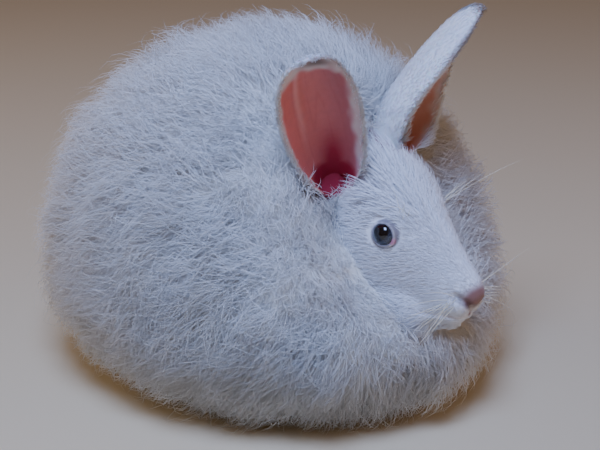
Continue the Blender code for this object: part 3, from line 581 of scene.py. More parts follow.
def earTone(side, across, share, inside, p):    # inside 1 in the cup, 0 on the back
    marks, medial = earMarks, -side * across
    pink = mixed(np.tile(tones["earPink"], (len(p), 1)), tones["earOrange"], smoothStep(0.0, -0.7, medial))
    pink = mixed(pink, tones["earMauve"], smoothStep(0.0, 0.7, medial) * 0.8)
    fold = peak(medial - marks["foldAt"], marks["foldWide"]) * smoothStep(0.2, 0.5, share)
    pink = mixed(pink, tones["earFold"], fold * marks["foldShare"])
    veins = np.clip(1 - np.abs(waves(np.stack((across * 0.05, share * 0.02, share * 0), 1), 5, 55)) * 4, 0, 1)
    pink = mixed(pink, tones["earVein"], veins * marks["veinShare"])
    # painted warm shade: the far ear's inside turned brown
    pink = mixed(pink, tones["earShadeBrown"], np.full(len(p), marks["shadeBrownShare"][side]))
    # deep red at the bottom of the cup and at the canal: red skin with painted shade
    deep = peak(medial - 0.12 - 0.3 * share, marks["deepWide"]) * smoothStep(0.46, 0.10, share)
    deep = np.maximum(deep * 1.2, smoothStep(0.17, 0.09, share))
    pink = mixed(pink, tones["earDeepRedAndShade"], np.clip(deep, 0, 1))
    ragged = waves(p, 8, 90) * marks["ragged"]
    edge = smoothStep(*marks["outerRim"], -medial + ragged)
    innerEdge = medial + ragged - 0.12 * smoothStep(0.4, 0.8, share)
    edge = np.maximum(edge, smoothStep(*marks["innerRim"], innerEdge))
    edge = np.maximum(edge, smoothStep(*marks["topRim"], share + 0.04 * across**2 + ragged * 0.5))
    pink = mixed(pink, tones["earRim"], edge * marks["rimShare"] * smoothStep(0.12, 0.24, share))
    smudge = peak(medial - marks["smudgeAt"][0], marks["smudgeWide"][0])
    smudge = smudge * peak(share - marks["smudgeAt"][1], marks["smudgeWide"][1])
    pink = mixed(pink, tones["earSmudge"], np.clip(smudge * (1.25 + waves(p, 9, 90) * 0.25), 0, 0.9))
    tone = mixed(np.tile(tones["faceFur"], (len(p), 1)), pink, inside)
    dark = smoothStep(0.84, 0.98, medial) * smoothStep(0.62, 0.78, share) * marks["darkEdge"][side]
    dark = np.maximum(dark, smoothStep(0.955, 0.99, share) * marks["darkTip"][side])
    return mixed(tone, tones["earTip"], np.clip(dark, 0, 1) * marks["darkShare"])


def noseFit(h):     # below 1 on the bare nose, which reaches back over each nostril
    centre, radii = muzzle["bareNose"]
    return np.linalg.norm((h / mm - centre) / radii, axis=1)


def headTone(p, wool):
    h = toHead(p)
    # where wool grows on the head, the skin takes the wool's darker root colour: painted shade under the coat
    tone = mixed(np.tile(tones["faceFur"], (len(p), 1)), tones["woolRootShaded"], wool)
    tone = mixed(tone, tones["nosePink"], smoothStep(1.3, 0.7, noseFit(h)))
    nostril, philtrum, mouth, _ = muzzleLines(h)
    # mouth and philtrum: red skin darkened with painted shade in the clefts
    tone = mixed(tone, tones["mouthRedAndShade"], np.maximum(philtrum, mouth * 0.35))
    # nostril slits painted near black: painted shade
    tone = mixed(tone, tones["nostrilShade"], nostril)
    for side in (1, -1):
        # the canal painted deep red: red skin with painted shade in the hollow
        tone = mixed(tone, tones["earDeepRedAndShade"], smoothStep(1.2, 1.06, canalFit(side, h)))
        look, ahead, above = eyeAxes(side)
        away = h - eyeCentre(side)
        fromBall = np.linalg.norm(away, axis=1) - eyes["radius"]
        lid = smoothStep(1.1 * mm, 0.3 * mm, fromBall) * ((away @ look) > 0)
        tone = mixed(tone, tones["lidDark"], lid * 0.85)
        tear = np.linalg.norm(away - look * 5.2 * mm - ahead * 7.6 * mm + above * 1.5 * mm, axis=1)
        tone = mixed(tone, tones["tearPink"], smoothStep(3.2 * mm, 1.0 * mm, tear) * 0.8)
    return tone


# Materials: each reads the tone that is painted on its piece

def startMaterial(name, **sockets):     # with the values that are the same all over
    made = bpy.data.materials.new(name)
    made.use_nodes = True
    shader = made.node_tree.nodes["Principled BSDF"]
    for socket, value in sockets.items():
        shader.inputs[socket.replace("_", " ")].default_value = value
    return made, made.node_tree, shader


def attributeOf(tree, name):
    reader = tree.nodes.new("ShaderNodeAttribute")
    reader.attribute_name = name
    return reader


def noiseOn(tree, place, scale, detail):
    noise = tree.nodes.new("ShaderNodeTexNoise")
    noise.inputs["Scale"].default_value = scale
    noise.inputs["Detail"].default_value = detail
    tree.links.new(place, noise.inputs["Vector"])
    return noise.outputs["Fac"]


def timesColour(tree, colour, factor):
    scaled = tree.nodes.new("ShaderNodeVectorMath")
    scaled.operation = "SCALE"
    tree.links.new(colour, scaled.inputs[0])
    tree.links.new(factor, scaled.inputs["Scale"])
    return scaled.outputs["Vector"]


def newMaterial(name, roughness, noiseScale=0, noiseShare=0.0, bump=0.0, bumpScale=0, **sockets):
    made, tree, shader = startMaterial(name, Roughness=roughness, **sockets)
    colour = attributeOf(tree, "tone").outputs["Color"]
    place = tree.nodes.new("ShaderNodeTexCoord").outputs["Object"]
    if noiseShare:
        spread = tree.nodes.new("ShaderNodeMapRange")
        spread.inputs["To Min"].default_value = 1 - noiseShare
        spread.inputs["To Max"].default_value = 1 + noiseShare * 0.5
        tree.links.new(noiseOn(tree, place, noiseScale, 3), spread.inputs["Value"])
        colour = timesColour(tree, colour, spread.outputs["Result"])
    tree.links.new(colour, shader.inputs["Base Color"])
    if bump:
        raised = tree.nodes.new("ShaderNodeBump")
        raised.inputs["Strength"].default_value = bump
        raised.inputs["Distance"].default_value = 0.6 * mm
        tree.links.new(noiseOn(tree, place, bumpScale, 4), raised.inputs["Height"])
        tree.links.new(raised.outputs["Normal"], shader.inputs["Normal"])
    return made


finish = {
    "underWool": newMaterial("underWool", 0.9, 160, 0.08, 0.5, 420, Sheen_Weight=0.2),
    "shortFur": newMaterial("shortFur", 0.8, 380, 0.07, 0.5, 1100, Sheen_Weight=0.25, Sheen_Roughness=0.5),
    "earSkin": newMaterial("earSkin", 0.55, 240, 0.10, 0.25, 900, Specular_IOR_Level=0.35,
                           Subsurface_Weight=0.35, Subsurface_Scale=0.004, Subsurface_Radius=(1.0, 0.25, 0.18)),
    "wool": newMaterial("wool", 1.0, 90, 0.05, Sheen_Weight=0.2, Specular_IOR_Level=0.1,
                        Subsurface_Weight=0.7, Subsurface_Scale=0.003, Subsurface_Radius=(1.0, 1.0, 1.0)),
    "furTuft": newMaterial("furTuft", 0.75, 260, 0.05, Sheen_Weight=0.15, Specular_IOR_Level=0.3),
    "whisker": newMaterial("whisker", 0.35, Specular_IOR_Level=0.6),
}


def paint(piece, colours):
    layer = piece.data.color_attributes.new("tone", "FLOAT_COLOR", "POINT")
    rows = np.ones((len(colours), 4), np.float32)
    rows[:, :3] = colours
    layer.data.foreach_set("color", rows.ravel())


def setRegion(piece, index):
    piece.data.materials.clear()
    for name in ("underWool", "shortFur", "earSkin"):
        piece.data.materials.append(finish[name])
    piece.data.polygons.foreach_set("material_index", np.full(len(piece.data.polygons), index, np.int32))
    return piece


woolEdge = {"height": (-60, -46, -30, -5, 15, 40), "along": (32, 18, -2, -26, -37, -41)}


def woolShare(p):   # on the head, 1 where the long wool starts and 0 on the face
    h = toHead(p) / mm
    edge = np.interp(h[:, 2], woolEdge["height"], woolEdge["along"])
    return smoothStep(4, -4, h[:, 0] - edge)


def makeSkin():
    skin = setRegion(makeTrunk(), 0)
    note("trunk")
    boolean(skin, setRegion(makeHead(), 1), "UNION")
    note("head")
    for side in (1, -1):
        boolean(skin, setRegion(makeEar(side), 2), "UNION")
        boolean(skin, setRegion(makeFoot(side, feet["fore"]), 1), "UNION")
        boolean(skin, setRegion(makeFoot(side, feet["hind"]), 1), "UNION")
    boolean(skin, setRegion(makeTail(), 0), "UNION")
    skin.name = skin.data.name = "rabbitSkin"
    skin.data.shade_smooth()
    return skin


def skinFacts(skin):
    mesh = skin.data
    mesh.calc_loop_triangles()
    tris = np.empty(len(mesh.loop_triangles) * 3, np.int32)
    mesh.loop_triangles.foreach_get("vertices", tris)
    polygon = np.empty(len(mesh.loop_triangles), np.int32)
    mesh.loop_triangles.foreach_get("polygon_index", polygon)
    region = np.empty(len(mesh.polygons), np.int32)
    mesh.polygons.foreach_get("material_index", region)
    p, tris = placesOf(skin), tris.reshape(-1, 3)
    facts = {"p": p, "out": normalsOf(skin), "tris": tris, "region": region[polygon]}
    facts["centre"] = p[tris].mean(1)
    cross = np.cross(p[tris[:, 1]] - p[tris[:, 0]], p[tris[:, 2]] - p[tris[:, 0]])
    facts["area"] = np.linalg.norm(cross, axis=1) / 2
    facts["faceOut"] = unit(cross)
    regionAt = np.zeros(len(p), np.int32)
    regionAt[tris.ravel()] = np.repeat(facts["region"], 3)
    facts["regionAt"] = regionAt
    return facts


def scatter(facts, weight, count, seed):    # roots spread over the skin's triangles by area and weight
    draw = np.random.default_rng(seed)
    share = np.cumsum(facts["area"] * weight)
    pick = np.searchsorted(share, draw.uniform(0, share[-1], count))
    a, b = draw.uniform(size=(2, count))
    a, b = np.where(a + b > 1, 1 - a, a), np.where(a + b > 1, 1 - b, b)
    corner = facts["tris"][pick]
    mix = np.stack((1 - a - b, a, b), 1)[:, :, None]
    return (facts["p"][corner] * mix).sum(1), unit((facts["out"][corner] * mix).sum(1))


# Tufts: closed blades of three sides that taper to a point, joined into one mesh a piece

tuftPatch = 0.003       # how wide a tuft is on the map of the skin
tuftSoft = 0.65         # share of the light that a tuft takes as the coat round it does


def tuftPiece(name, paths, overs, wide, thick, rootTone, tipTone, patch, material):
    count, rows = paths.shape[0], paths.shape[1] - 1
    ahead = unit(np.gradient(paths, axis=1))
    side = unit(np.cross(ahead, overs))
    over = np.cross(side, ahead)
    share = np.arange(rows) / rows
    girth = (0.75 + 0.5 * share) * (1 - share**1.8)
    verts = np.empty((count, rows * 3 + 1, 3), np.float32)
    facing = np.empty_like(verts)
    for k in range(rows):
        for j in range(3):
            turn = math.pi / 2 + 2 * math.pi * j / 3
            out = side[:, k] * (wide * girth[k] * math.cos(turn))[:, None]
            out = out + over[:, k] * (thick * girth[k] * math.sin(turn))[:, None]
            verts[:, 3 * k + j] = paths[:, k] + out
            facing[:, 3 * k + j] = unit(unit(out) * (1 - tuftSoft) + overs[:, k] * tuftSoft)
    verts[:, -1], facing[:, -1] = paths[:, -1], overs[:, -1]
    quads, tris = [], [(0, 1, 2)]
    for k in range(rows - 1):
        for j in range(3):
            a, b = 3 * k + j, 3 * k + (j + 1) % 3
            quads.append((a, a + 3, b + 3, b))
    last = 3 * rows - 3
    tris += [(last + j, 3 * rows, last + (j + 1) % 3) for j in range(3)]
    loopsEach = np.array([i for face in quads + tris for i in face], np.int32)
    startsEach = np.append(np.arange(len(quads)) * 4, len(quads) * 4 + np.arange(len(tris)) * 3)
    mesh = bpy.data.meshes.new(name)
    mesh.vertices.add(verts.shape[0] * verts.shape[1])
    mesh.vertices.foreach_set("co", verts.ravel())
    step = np.arange(count, dtype=np.int32)[:, None]
    loops = (loopsEach[None] + step * verts.shape[1]).ravel()
    mesh.loops.add(len(loops))
    mesh.loops.foreach_set("vertex_index", loops)
    starts = (startsEach.astype(np.int32)[None] + step * len(loopsEach)).ravel()
    mesh.polygons.add(len(starts))
    mesh.polygons.foreach_set("loop_start", starts)
    mesh.update(calc_edges=True)
    mesh.shade_smooth()
    within = np.array([(k / rows, j / 3) for k in range(rows) for j in range(3)] + [(1, 0.5)]) - 0.5
    spot = patch[:, None] + within[None] * tuftPatch
    chart = mesh.uv_layers.new(name="OFBake")
    chart.data.foreach_set("uv", spot.reshape(-1, 2)[loops].astype(np.float32).ravel())
    piece = bpy.data.objects.new(name, mesh)
    bpy.context.scene.collection.objects.link(piece)
    mesh.normals_split_custom_set_from_vertices(facing.reshape(-1, 3))
    # colour fades from the root tone to the tip tone; a darker root tone is painted shade deep in the fur
    fade = np.append(np.repeat(share, 3), 1.0)[None, :, None] ** 0.7
    paint(piece, (rootTone[:, None] * (1 - fade) + tipTone[:, None] * fade).reshape(-1, 3))
    mesh.materials.append(material)
    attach(piece, "root")
    return piece


def turned(way, axis, angle):
    return way * np.cos(angle)[:, None] + np.cross(axis, way) * np.sin(angle)[:, None]


def flat(way, out):
    return unit(way - out * np.sum(way * out, axis=1, keepdims=True))


# The long coat: tufts that rise from the core to the tips of the coat and lie back over it

wool = {
    "count": 60000, "steps": 3, "reach": 21 * mm, "reachVaries": 0.4, "height": 16 * mm, "heightVaries": 0.28,
    "wide": 0.27 * mm, "thick": 0.20 * mm, "sunk": 2 * mm, "swing": 52, "crimp": 2.2 * mm,
    "gathered": ((9000, 0.10), (1300, 0.24)), "seed": 101,
    "clearOfCore": 4 * mm, "lieBack": (-0.8, 0, -0.62), "lieFromFace": (-0.35, 0, -0.3), "faceNear": 105 * mm,
    "drift": 0.3, "driftsEachMetre": 14, "shallowNear": 72 * mm, "shallowest": 0.4, "pastBox": 8 * mm,
    "pieces": (
        "woolFront", "woolFrontLeft", "woolLeft", "woolRear", "woolRearRight", "woolRight", "woolFrontRight",
    ),
}
wisps = {
    "count": 5500, "steps": 5, "reach": 32 * mm, "height": 20.5 * mm, "heightVaries": 0.25,
    "wide": 0.17 * mm, "swing": 55, "crimp": 3.0 * mm, "gathered": ((1500, 0.3),), "seed": 111,
}


def coatLie(p, out):
    away = p - headOrigin
    near = peak(np.linalg.norm(away, axis=1), wool["faceNear"])[:, None]
    flow = (unit(away) + wool["lieFromFace"]) * near + np.array(wool["lieBack"]) * (1 - near)
    drift = np.stack([waves(p, seed, wool["driftsEachMetre"]) for seed in (61, 62, 63)], 1)
    return flat(flow + drift * wool["drift"], out)


def depthShare(p):
    return np.clip((np.linalg.norm(p - headOrigin, axis=1) / wool["shallowNear"]) ** 2, wool["shallowest"], 1)


def growWool(roots, spec, seed):
    draw = np.random.default_rng(seed)
    count, steps = len(roots), spec["steps"]
    level = coreLevel(roots) - puff(roots)
    deep = depthShare(roots)
    height = spec["height"] * deep * (1 + draw.normal(size=count).clip(-2, 2) * spec["heightVaries"])
    height = np.maximum(height, level + wool["clearOfCore"])
    reach = spec["reach"] * (0.45 + 0.55 * deep) * (1 + draw.uniform(-1, 1, count) * wool["reachVaries"])
    swing = np.radians(draw.normal(size=count).clip(-2, 2) * spec["swing"])
    bent = draw.uniform(0, 2 * math.pi, count)
    foot, start = roots.copy(), level - wool["sunk"]
    paths, overs = np.empty((count, steps + 1, 3)), np.empty((count, steps + 1, 3))
    for k in range(steps + 1):
        share = k / steps
        g = unit(slopeOf(coreLevel, foot))
        target = start + (height - start) * math.sin(math.pi / 2 * share)
        paths[:, k] = foot + g * (target + puff(foot) - coreLevel(foot))[:, None]
        overs[:, k] = g
        lie = turned(coatLie(foot, g), g, swing)
        wave = np.sin(bent + share * 7) * spec["crimp"] * share
        paths[:, k] += np.cross(g, lie) * wave[:, None]
        foot = foot + lie * (reach / steps)[:, None]
    return paths, overs


def gather(paths, centres, pull, seed):     # the tufts round each centre draw together towards its tip
    draw = np.random.default_rng(seed)
    lead = draw.choice(len(paths), min(centres, len(paths)), replace=False)
    tree = KDTree(len(lead))
    for i in lead:
        tree.insert(paths[i, 1], i)
    tree.balance()
    owner = np.array([tree.find(row)[1] for row in paths[:, 1]])
    share = np.linspace(0, 1, paths.shape[1])[None, :, None] ** 1.4
    return paths + (paths[owner] - paths) * share * pull, owner


def withinReach(paths):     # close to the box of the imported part
    return np.clip(paths, np.array(cadBox[0]) - wool["pastBox"], np.array(cadBox[1]) + wool["pastBox"])


def clearOfFloor(paths, seed):
    low = np.random.default_rng(seed).uniform(0.5, 2.5, len(paths)) * mm
    paths[:, :, 2] = np.maximum(paths[:, :, 2], low[:, None])
    return withinReach(paths)


def crossesFace(paths):
    found = np.zeros(len(paths), bool)
    for k in range(1, paths.shape[1]):
        p = paths[:, k]
        found |= (headFit(toHead(p)) < 1.04) & (woolShare(p) < 0.3)
    return found


def crossesEar(paths):
    found = np.zeros(len(paths), bool)
    for side in (1, -1):
        rise, _, _, root = earAxes(side)
        for k in range(1, paths.shape[1]):
            h = toHead(paths[:, k]) - root
            share = h @ rise / ears[side]["length"]
            opens, spread = earTurned(side, share)
            aside = np.sum(h * spread, 1) - ears[side]["lean"] * share**2
            radius, cup = earCup(side, share)
            reach = radius * np.sin(np.minimum(cup, math.pi / 2))
            wall = radius - np.sqrt(np.maximum(radius**2 - np.minimum(np.abs(aside), radius) ** 2, 0))
            wall = np.sum(h * opens, 1) - wall + ears[side]["back"] * share**2 + radius * 0.55
            within = (share > -0.04) & (share < 1.02) & (np.abs(aside) < reach * 0.97)
            found |= within & (wall > -1.5 * mm) & (wall < 16 * mm)
    return found


def ballPatch(roots):       # place on an unwrap of the ball: round it, and from its foot to its top
    away = roots - np.array((0, 0, ball["waist"]))
    u = np.arctan2(away[:, 1], away[:, 0]) / (2 * math.pi) + 0.5
    v = np.arctan2(away[:, 2], np.hypot(away[:, 0], away[:, 1])) / math.pi + 0.5
    return np.clip(np.stack((u, v), 1), 0.003, 0.997)


def woolWeight(facts):
    weight = np.where(facts["region"] == 0, 1.0, 0.0)
    onHead = (facts["region"] == 1) & (facts["centre"][:, 0] > 0)
    weight = np.where(onHead, woolShare(facts["centre"]) * 1.4, weight)
    under = (facts["centre"][:, 2] < 9 * mm) & (facts["faceOut"][:, 2] < -0.75)
    return np.where(under, 0.0, weight)


def longCoat(facts, spec, thin):
    seed = spec["seed"]
    roots, _ = scatter(facts, woolWeight(facts), int(spec["count"] * thin), seed)
    paths, overs = growWool(roots, spec, seed + 1)
    for count, pull in spec["gathered"]:
        paths, owner = gather(paths, count, pull, seed + 2)
        seed += 1
    paths = clearOfFloor(paths, seed + 2)
    keep = ~(crossesFace(paths) | crossesEar(paths))
    draw = np.random.default_rng(seed + 3)
    wide = spec["wide"] * draw.uniform(0.7, 1.3, keep.sum()) / math.sqrt(thin)
    return roots[keep], paths[keep], overs[keep], owner[keep], wide, draw


def makeWool(facts):
    roots, paths, overs, owner, wide, draw = longCoat(facts, wool, 1)
    shade = 1 + draw.uniform(-0.03, 0.03, len(roots)) + (owner % 17 / 17 - 0.5) * 0.03
    order = np.argsort(np.arctan2(roots[:, 1], roots[:, 0]))
    for name, rows in zip(wool["pieces"], np.array_split(order, len(wool["pieces"]))):
        thick, tint = wide[rows] * wool["thick"] / wool["wide"], shade[rows, None]
        # the darker root colour of each tuft is painted shade deep in the coat
        piece = tuftPiece(name, paths[rows], overs[rows], wide[rows], thick, tint * tones["woolRootShaded"],
                          tint * tones["woolTip"], ballPatch(roots[rows]), finish["wool"])
    note(f"wool, {len(roots)} tufts")


def makeWisps(facts):
    roots, paths, overs, _, wide, _ = longCoat(facts, wisps, shortThin)
    tone = np.tile(tones["woolTip"], (len(roots), 1))
    # roots a little darker than the tips: painted shade
    piece = tuftPiece("woolWisps", paths, overs, wide, wide * 0.8, tone * 0.95, tone, ballPatch(roots),
                      finish["wool"])
    note(f"wisps, {len(roots)} tufts")


# Short fur of the face and the ears

faceFur = {
    "count": 15500, "wide": 0.25 * mm, "rise": 0.22, "swing": 18, "cheekRise": 0.25, "crestRise": 0.3,
    "along": (-45, -25, 0, 25, 45, 58, 64), "lengths": (15, 12, 7.5, 5.5, 3.6, 2.0, 1.2),
    "jawLonger": 8, "crestLonger": 4, "locks": 1500, "lockPull": 0.25, "seed": 121,
}
earFur = {"count": 4000, "length": 3.8 * mm, "wide": 0.26 * mm, "rise": 0.2, "swing": 12, "seed": 131}


def shortPaths(roots, out, lie, length, rise, swing, seed):
    draw = np.random.default_rng(seed)
    count = len(roots)
    lie = turned(flat(lie, out), out, np.radians(draw.normal(size=count).clip(-2, 2) * swing))
    length = length * draw.uniform(0.75, 1.25, count)
    rise = rise * draw.uniform(0.5, 1.5, count)
    share = np.linspace(0, 1, 4)
    paths = np.empty((count, 4, 3))
    for k, s in enumerate(share):
        height = rise * length * math.sin(math.pi / 2 * s) - 0.4 * mm * (s == 0)
        paths[:, k] = roots + lie * (length * s)[:, None] + out * height[:, None]
    return paths, np.repeat(out[:, None], 4, axis=1)


def faceLie(h, out):
    flow = np.stack((np.full(len(h), -1.0), h[:, 1] * 14, h[:, 2] * 8 - 0.3), 1)
    return flat(flow @ headAxes.T, out)


def faceLength(h):
    mmh = h / mm
    length = np.interp(mmh[:, 0], faceFur["along"], faceFur["lengths"])
    length = length + faceFur["jawLonger"] * smoothStep(-22, -38, mmh[:, 2]) * smoothStep(62, 44, mmh[:, 0])
    return (length + faceFur["crestLonger"] * crestShare(h)) * mm


def crestShare(h):      # 1 on the crown and the forehead, where the fur stands up
    mmh = h / mm
    return smoothStep(12, 26, mmh[:, 2]) * smoothStep(26, 6, mmh[:, 0])


def bareShare(h):       # 1 where no fur grows: nose, nostrils, mouth and the edges of the lids
    nose = smoothStep(1.15, 0.85, noseFit(h))
    nostril, philtrum, mouth, _ = muzzleLines(h)
    bare = np.maximum.reduce((nose, nostril * 2, philtrum * 1.6, mouth * 1.6))
    for side in (1, -1):
        away = h - eyeCentre(side)
        bare = np.maximum(bare, smoothStep(1.3 * mm, 0.7 * mm, np.linalg.norm(away, axis=1) - eyes["radius"]))
        bare = np.maximum(bare, smoothStep(1.3, 1.15, canalFit(side, h)))
    return np.clip(bare, 0, 1)


def crossesEye(paths):
    found = np.zeros(len(paths), bool)
    for side in (1, -1):
        for k in range(1, paths.shape[1]):
            away = np.linalg.norm(toHead(paths[:, k]) - eyeCentre(side), axis=1)
            found |= away < eyes["radius"] + 0.25 * mm
    return found


def headPatch(roots):       # place on an unwrap of the head: round its length, and along it
    h = toHead(roots)
    u = np.arctan2(h[:, 1], -h[:, 2]) / (2 * math.pi) + 0.5
    v = (h[:, 0] + 64 * mm) / (132 * mm)
    return np.clip(np.stack((u, v), 1), 0.003, 0.997)


def makeFaceFur(facts):
    weight = np.where((facts["region"] == 1) & (facts["centre"][:, 2] > 45 * mm), 1.0, 0.0)
    h = toHead(facts["centre"])
    woolly = woolShare(facts["centre"])
    weight *= (1 - bareShare(h)) * (1 - woolly * 0.3) * (1 + 6 * woolly * (1 - woolly))
    weight *= 1 + 1.2 * smoothStep(0, 40 * mm, h[:, 0])
    roots, out = scatter(facts, weight, int(faceFur["count"] * shortThin), faceFur["seed"])
    h = toHead(roots)
    rise = faceFur["rise"] + faceFur["crestRise"] * crestShare(h)
    rise = rise + faceFur["cheekRise"] * smoothStep(-20, -38, h[:, 2] / mm) * smoothStep(62, 44, h[:, 0] / mm)
    lie, seed = faceLie(h, out), faceFur["seed"]
    paths, overs = shortPaths(roots, out, lie, faceLength(h), rise, faceFur["swing"], seed + 1)
    paths, _ = gather(paths, faceFur["locks"], faceFur["lockPull"], seed + 2)
    keep = ~(crossesEye(paths) | crossesEar(paths))
    roots, paths, overs = roots[keep], paths[keep], overs[keep]
    tone = headTone(roots, np.zeros(len(roots)))
    wide = faceFur["wide"] * np.interp(toHead(roots)[:, 0] / mm, (0, 60), (1, 0.75))
    order = np.argsort(toHead(roots)[:, 1])
    for name, rows in zip(("faceFurRight", "faceFurLeft"), np.array_split(order, 2)):
        # roots a little darker than the tips: painted shade
        piece = tuftPiece(name, paths[rows], overs[rows], wide[rows], wide[rows] * 0.7, tone[rows] * 0.95,
                          tone[rows], headPatch(roots[rows]), finish["furTuft"])
    note(f"face fur, {len(roots)} tufts")


def makeEarFur(facts, side, name):
    ear = earMaps[side]
    mine = (facts["region"] == 2) & ((facts["centre"][:, 1] > 0) == (side > 0))
    weight = np.zeros(len(facts["area"]))
    at = ear.nearest(facts["centre"][mine])
    inside = np.sum(facts["faceOut"][mine] * ear.inward[at], 1)
    edge = np.abs(ear.across[at])
    furred = (inside < 0.25) * 1.0 + smoothStep(0.86, 0.97, edge) * 1.6
    furred = furred + smoothStep(0.93, 0.99, ear.share[at]) * 1.2
    weight[mine] = furred * smoothStep(0.13, 0.24, ear.share[at])
    roots, out = scatter(facts, weight, int(earFur["count"] * shortThin), earFur["seed"] + side)
    at = ear.nearest(roots)
    across, share = ear.across[at], ear.share[at]
    rim = smoothStep(0.82, 0.97, np.maximum(np.abs(across), share * 0.99))
    lie = ear.tall[at] + ear.wide[at] * (across * 0.25 + np.sign(across) * rim * 0.5)[:, None]
    length = earFur["length"] * (1 - 0.35 * share) + 5 * mm * smoothStep(0.35, 0.1, share)
    length, seed = length * (1 + 0.2 * rim), earFur["seed"] + 3 + side
    paths, overs = shortPaths(roots, out, lie, length, earFur["rise"], earFur["swing"], seed)
    rimWay = ear.wide[at] * np.sign(across)[:, None] + ear.tall[at] * (2 * smoothStep(0.9, 1, share))[:, None]
    overs = unit(overs * (1 - 0.85 * rim)[:, None, None] + (unit(rimWay) * rim[:, None])[:, None])
    tone = earTone(side, across, share, np.zeros(len(roots)), roots)
    wide = np.full(len(roots), earFur["wide"])
    chart = np.stack(((across + 1) / 2, share), 1).clip(0.003, 0.997)
    # roots a little darker than the tips: painted shade
    piece = tuftPiece(name, paths, overs, wide, wide * 0.7, tone * 0.95, tone, chart, finish["furTuft"])
    note(f"{name}, {len(roots)} tufts")


# Eyes

def eyeMaterial():
    gloss = {"Roughness": 0.12, "Coat_Weight": 1.0, "Coat_Roughness": 0.02, "IOR": 1.38}
    made, tree, shader = startMaterial("eyeBall", **gloss)
    ramp = tree.nodes.new("ShaderNodeValToRGB")
    while len(ramp.color_ramp.elements) < len(eyes["stops"]):
        ramp.color_ramp.elements.new(0.5)
    for element, (place, colour) in zip(ramp.color_ramp.elements, eyes["stops"]):
        element.position = place
        element.color = (*colour, 1)
    tree.links.new(attributeOf(tree, "gaze").outputs["Fac"], ramp.inputs["Fac"])
    colour = timesColour(tree, ramp.outputs["Color"], attributeOf(tree, "streak").outputs["Fac"])
    tree.links.new(colour, shader.inputs["Base Color"])
    return made


def makeEye(name, node, side, material):
    r = eyes["radius"]
    eye = addBall(name, 128, 80, (0, 0, 0), (r, r, r))
    gaze = Vector(mirrored(eyes["gaze"], side)).normalized()
    eye.data.transform(gaze.to_track_quat("Z", "Y").to_matrix().to_4x4())
    way = unit(placesOf(eye))
    angle = np.degrees(np.arccos(np.clip(way @ np.array(gaze), -1, 1)))
    bulge = 0.35 * mm * smoothStep(48, 20, angle)
    putPlaces(eye, way * (r + bulge)[:, None] + eyeCentre(side))
    eye.data.transform(headMatrix)
    eye.data.shade_smooth()
    layer = eye.data.attributes.new("gaze", "FLOAT", "POINT")
    layer.data.foreach_set("value", (angle / 90).astype(np.float32))
    streak = 1 + 0.45 * waves(way * 40 * mm, 41, 900) * smoothStep(26, 34, angle)
    layer = eye.data.attributes.new("streak", "FLOAT", "POINT")
    layer.data.foreach_set("value", streak.clip(0.5, 1.7).astype(np.float32))
    eye.data.materials.append(material)
    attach(eye, "root")
    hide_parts(node)


# Whiskers

whiskers = {
    "rows": ((52, 9, -9), (50, 11.5, -12), (48, 13, -15.5), (53, 8, -15), (50, 11, -18.5), (55, 6.5, -11)),
    "brows": ((8, 20, 22), (4, 22, 23.5)), "each": 2, "length": 46 * mm, "wide": 0.2 * mm, "seed": 151,
    "long": (       # root, way and length of those that stand clear on both sides
        ((52, 10, -9), (0.09, 0.83, 0.55), 58), ((50, 12, -12), (0.0, 0.9, 0.36), 50),
        ((8, 20, 24), (0.25, 0.75, 0.62), 66), ((46, 13, -24), (-0.2, 0.55, -0.6), 34),
        ((40, 14, -30), (-0.3, 0.5, -0.7), 36),
    ),
    "colour": (0.93, 0.84, 0.62),
}


def makeWhiskers():
    draw = np.random.default_rng(whiskers["seed"])
    share = np.linspace(0, 1, 9)[:, None]
    lines = []
    for side in (1, -1):
        for group in ("rows", "brows"):
            for row in np.repeat(whiskers[group], whiskers["each"], axis=0):
                root = np.array(mirrored(row, side)) * mm + draw.normal(size=3) * 0.8 * mm
                way = (draw.uniform(-0.15, 0.55), side, draw.uniform(-0.35, 0.25))
                if group == "brows":
                    way = (draw.uniform(0, 0.4), side * 0.6, 0.9)
                length = whiskers["length"] * draw.uniform(0.55, 1) * (0.7 if group == "brows" else 1)
                droop = np.array((-0.25, 0, -0.5)) * share**2 * draw.uniform(0.2, 0.6)
                lines.append(root + (unit(np.array(way)) * share + droop) * length)
        for root, way, length in whiskers["long"]:
            line = unit(np.array(mirrored(way, side))) * share + np.array((-0.05, 0, -0.22)) * share**2
            lines.append(np.array(mirrored(root, side)) * mm + line * length * mm)
    paths = withinReach(fromHead(np.array(lines)))
    overs = np.broadcast_to(headAxes @ np.array((0.0, 0.1, 1.0)), paths.shape)
    wide = np.full(len(paths), whiskers["wide"])
    tone = np.tile(whiskers["colour"], (len(paths), 1))
    chart = headPatch(paths[:, 0])
    piece = tuftPiece("whiskers", paths, overs, wide, wide, tone, tone, chart, finish["whisker"])
    note("whiskers")


# Floor, light and camera

camera = {
    "lookAt": (0, 0, 0.1015), "azimuth": 43, "elevation": 18, "distance": 0.95,
    "lens": 88.35, "shiftX": 5 / 600,
}
floor = {"size": 12, "colour": (0.80, 0.67, 0.45), "roughness": 0.7}
lights = {
    "window": {"from": (0.53, -0.78, 1.48), "size": 0.65, "power": 37, "colour": (0.37, 0.53, 1.0)},
    "fill": {"from": (-1.4, -0.8, 0.7), "size": 1.2, "power": 5.0, "colour": (1.0, 0.70, 0.36)},
    "warm": {"from": (1.2, 0.7, 0.3), "size": 1.2, "power": 3.0, "colour": (1.0, 0.55, 0.22)},
}
surround = {"colour": (1.0, 0.62, 0.26), "strength": 0.14}


def placed(name, thing, place, aim):
    holder = bpy.data.objects.new(name, thing)
    bpy.context.scene.collection.objects.link(holder)
    holder.location = place
    holder.rotation_euler = aim.to_track_quat("-Z", "Y").to_euler()
    return holder


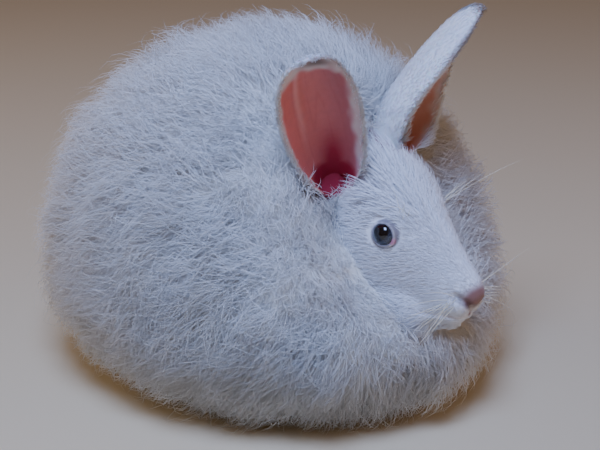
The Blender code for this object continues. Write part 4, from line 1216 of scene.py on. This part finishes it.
def makeStage():
    ground = added(bpy.ops.mesh.primitive_plane_add, size=floor["size"])
    ground.name = "floor"
    pale = startMaterial("paleFloor", Base_Color=(*floor["colour"], 1), Roughness=floor["roughness"])
    ground.data.materials.append(pale[0])
    for name, spec in lights.items():
        lamp = bpy.data.lights.new(name, "AREA")
        lamp.size, lamp.energy, lamp.color = spec["size"], spec["power"], spec["colour"]
        placed(name, lamp, Vector(spec["from"]), Vector((0, 0, 0.1)) - Vector(spec["from"]))
    world = bpy.data.worlds.new("studio")
    world.use_nodes = True
    world.node_tree.nodes["Background"].inputs["Color"].default_value = (*surround["colour"], 1)
    world.node_tree.nodes["Background"].inputs["Strength"].default_value = surround["strength"]
    bpy.context.scene.world = world
    a, e = math.radians(camera["azimuth"]), math.radians(camera["elevation"])
    towards = Vector((math.sin(a) * math.cos(e), -math.cos(a) * math.cos(e), math.sin(e)))
    eye = bpy.data.cameras.new("camera")
    eye.lens, eye.shift_x, eye.sensor_width = camera["lens"], camera["shiftX"], 36
    stand = Vector(camera["lookAt"]) + towards * camera["distance"]
    bpy.context.scene.camera = placed("camera", eye, stand, -towards)


# The whole rabbit

makeStage()
skin = makeSkin()
facts = skinFacts(skin)
note(f"skin, {len(facts['tris'])} triangles")
onHead, onEar = facts["regionAt"] == 1, facts["regionAt"] == 2
# the skin under the coat takes the wool's darker root colour: painted shade
skinTone = np.broadcast_to(tones["woolRootShaded"], (len(facts["p"]), 3)).copy()
for side in (1, -1):
    # skin round the canal painted deep red: painted shade in the hollow
    skinTone = mixed(skinTone, tones["earDeepRedAndShade"], smoothStep(1.5, 1.25, canalFit(side, toHead(facts["p"]))))
skinTone[onHead] = headTone(facts["p"][onHead], woolShare(facts["p"][onHead]))
for side in (1, -1):
    mine = onEar & ((facts["p"][:, 1] > 0) == (side > 0))
    ear = earMaps[side]
    at = ear.nearest(facts["p"][mine])
    inside = smoothStep(-0.1, 0.5, np.sum(facts["out"][mine] * ear.inward[at], 1))
    inside = np.maximum(inside, smoothStep(0.17, 0.09, ear.share[at]))
    skinTone[mine] = earTone(side, ear.across[at], ear.share[at], inside, facts["p"][mine])
paint(skin, skinTone)
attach(skin, "root")
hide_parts("torso", "neck", "head", "tail", "ear_left", "ear_right",
            "foreleg_left", "foreleg_right", "hindleg_left", "hindleg_right")
makeWool(facts)
makeWisps(facts)
makeFaceFur(facts)
makeEarFur(facts, 1, "earFurLeft")
makeEarFur(facts, -1, "earFurRight")
eyeBall = eyeMaterial()
makeEye("eyeBallLeft", "eye_left", 1, eyeBall)
makeEye("eyeBallRight", "eye_right", -1, eyeBall)
makeWhiskers()

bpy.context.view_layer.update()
note("done")
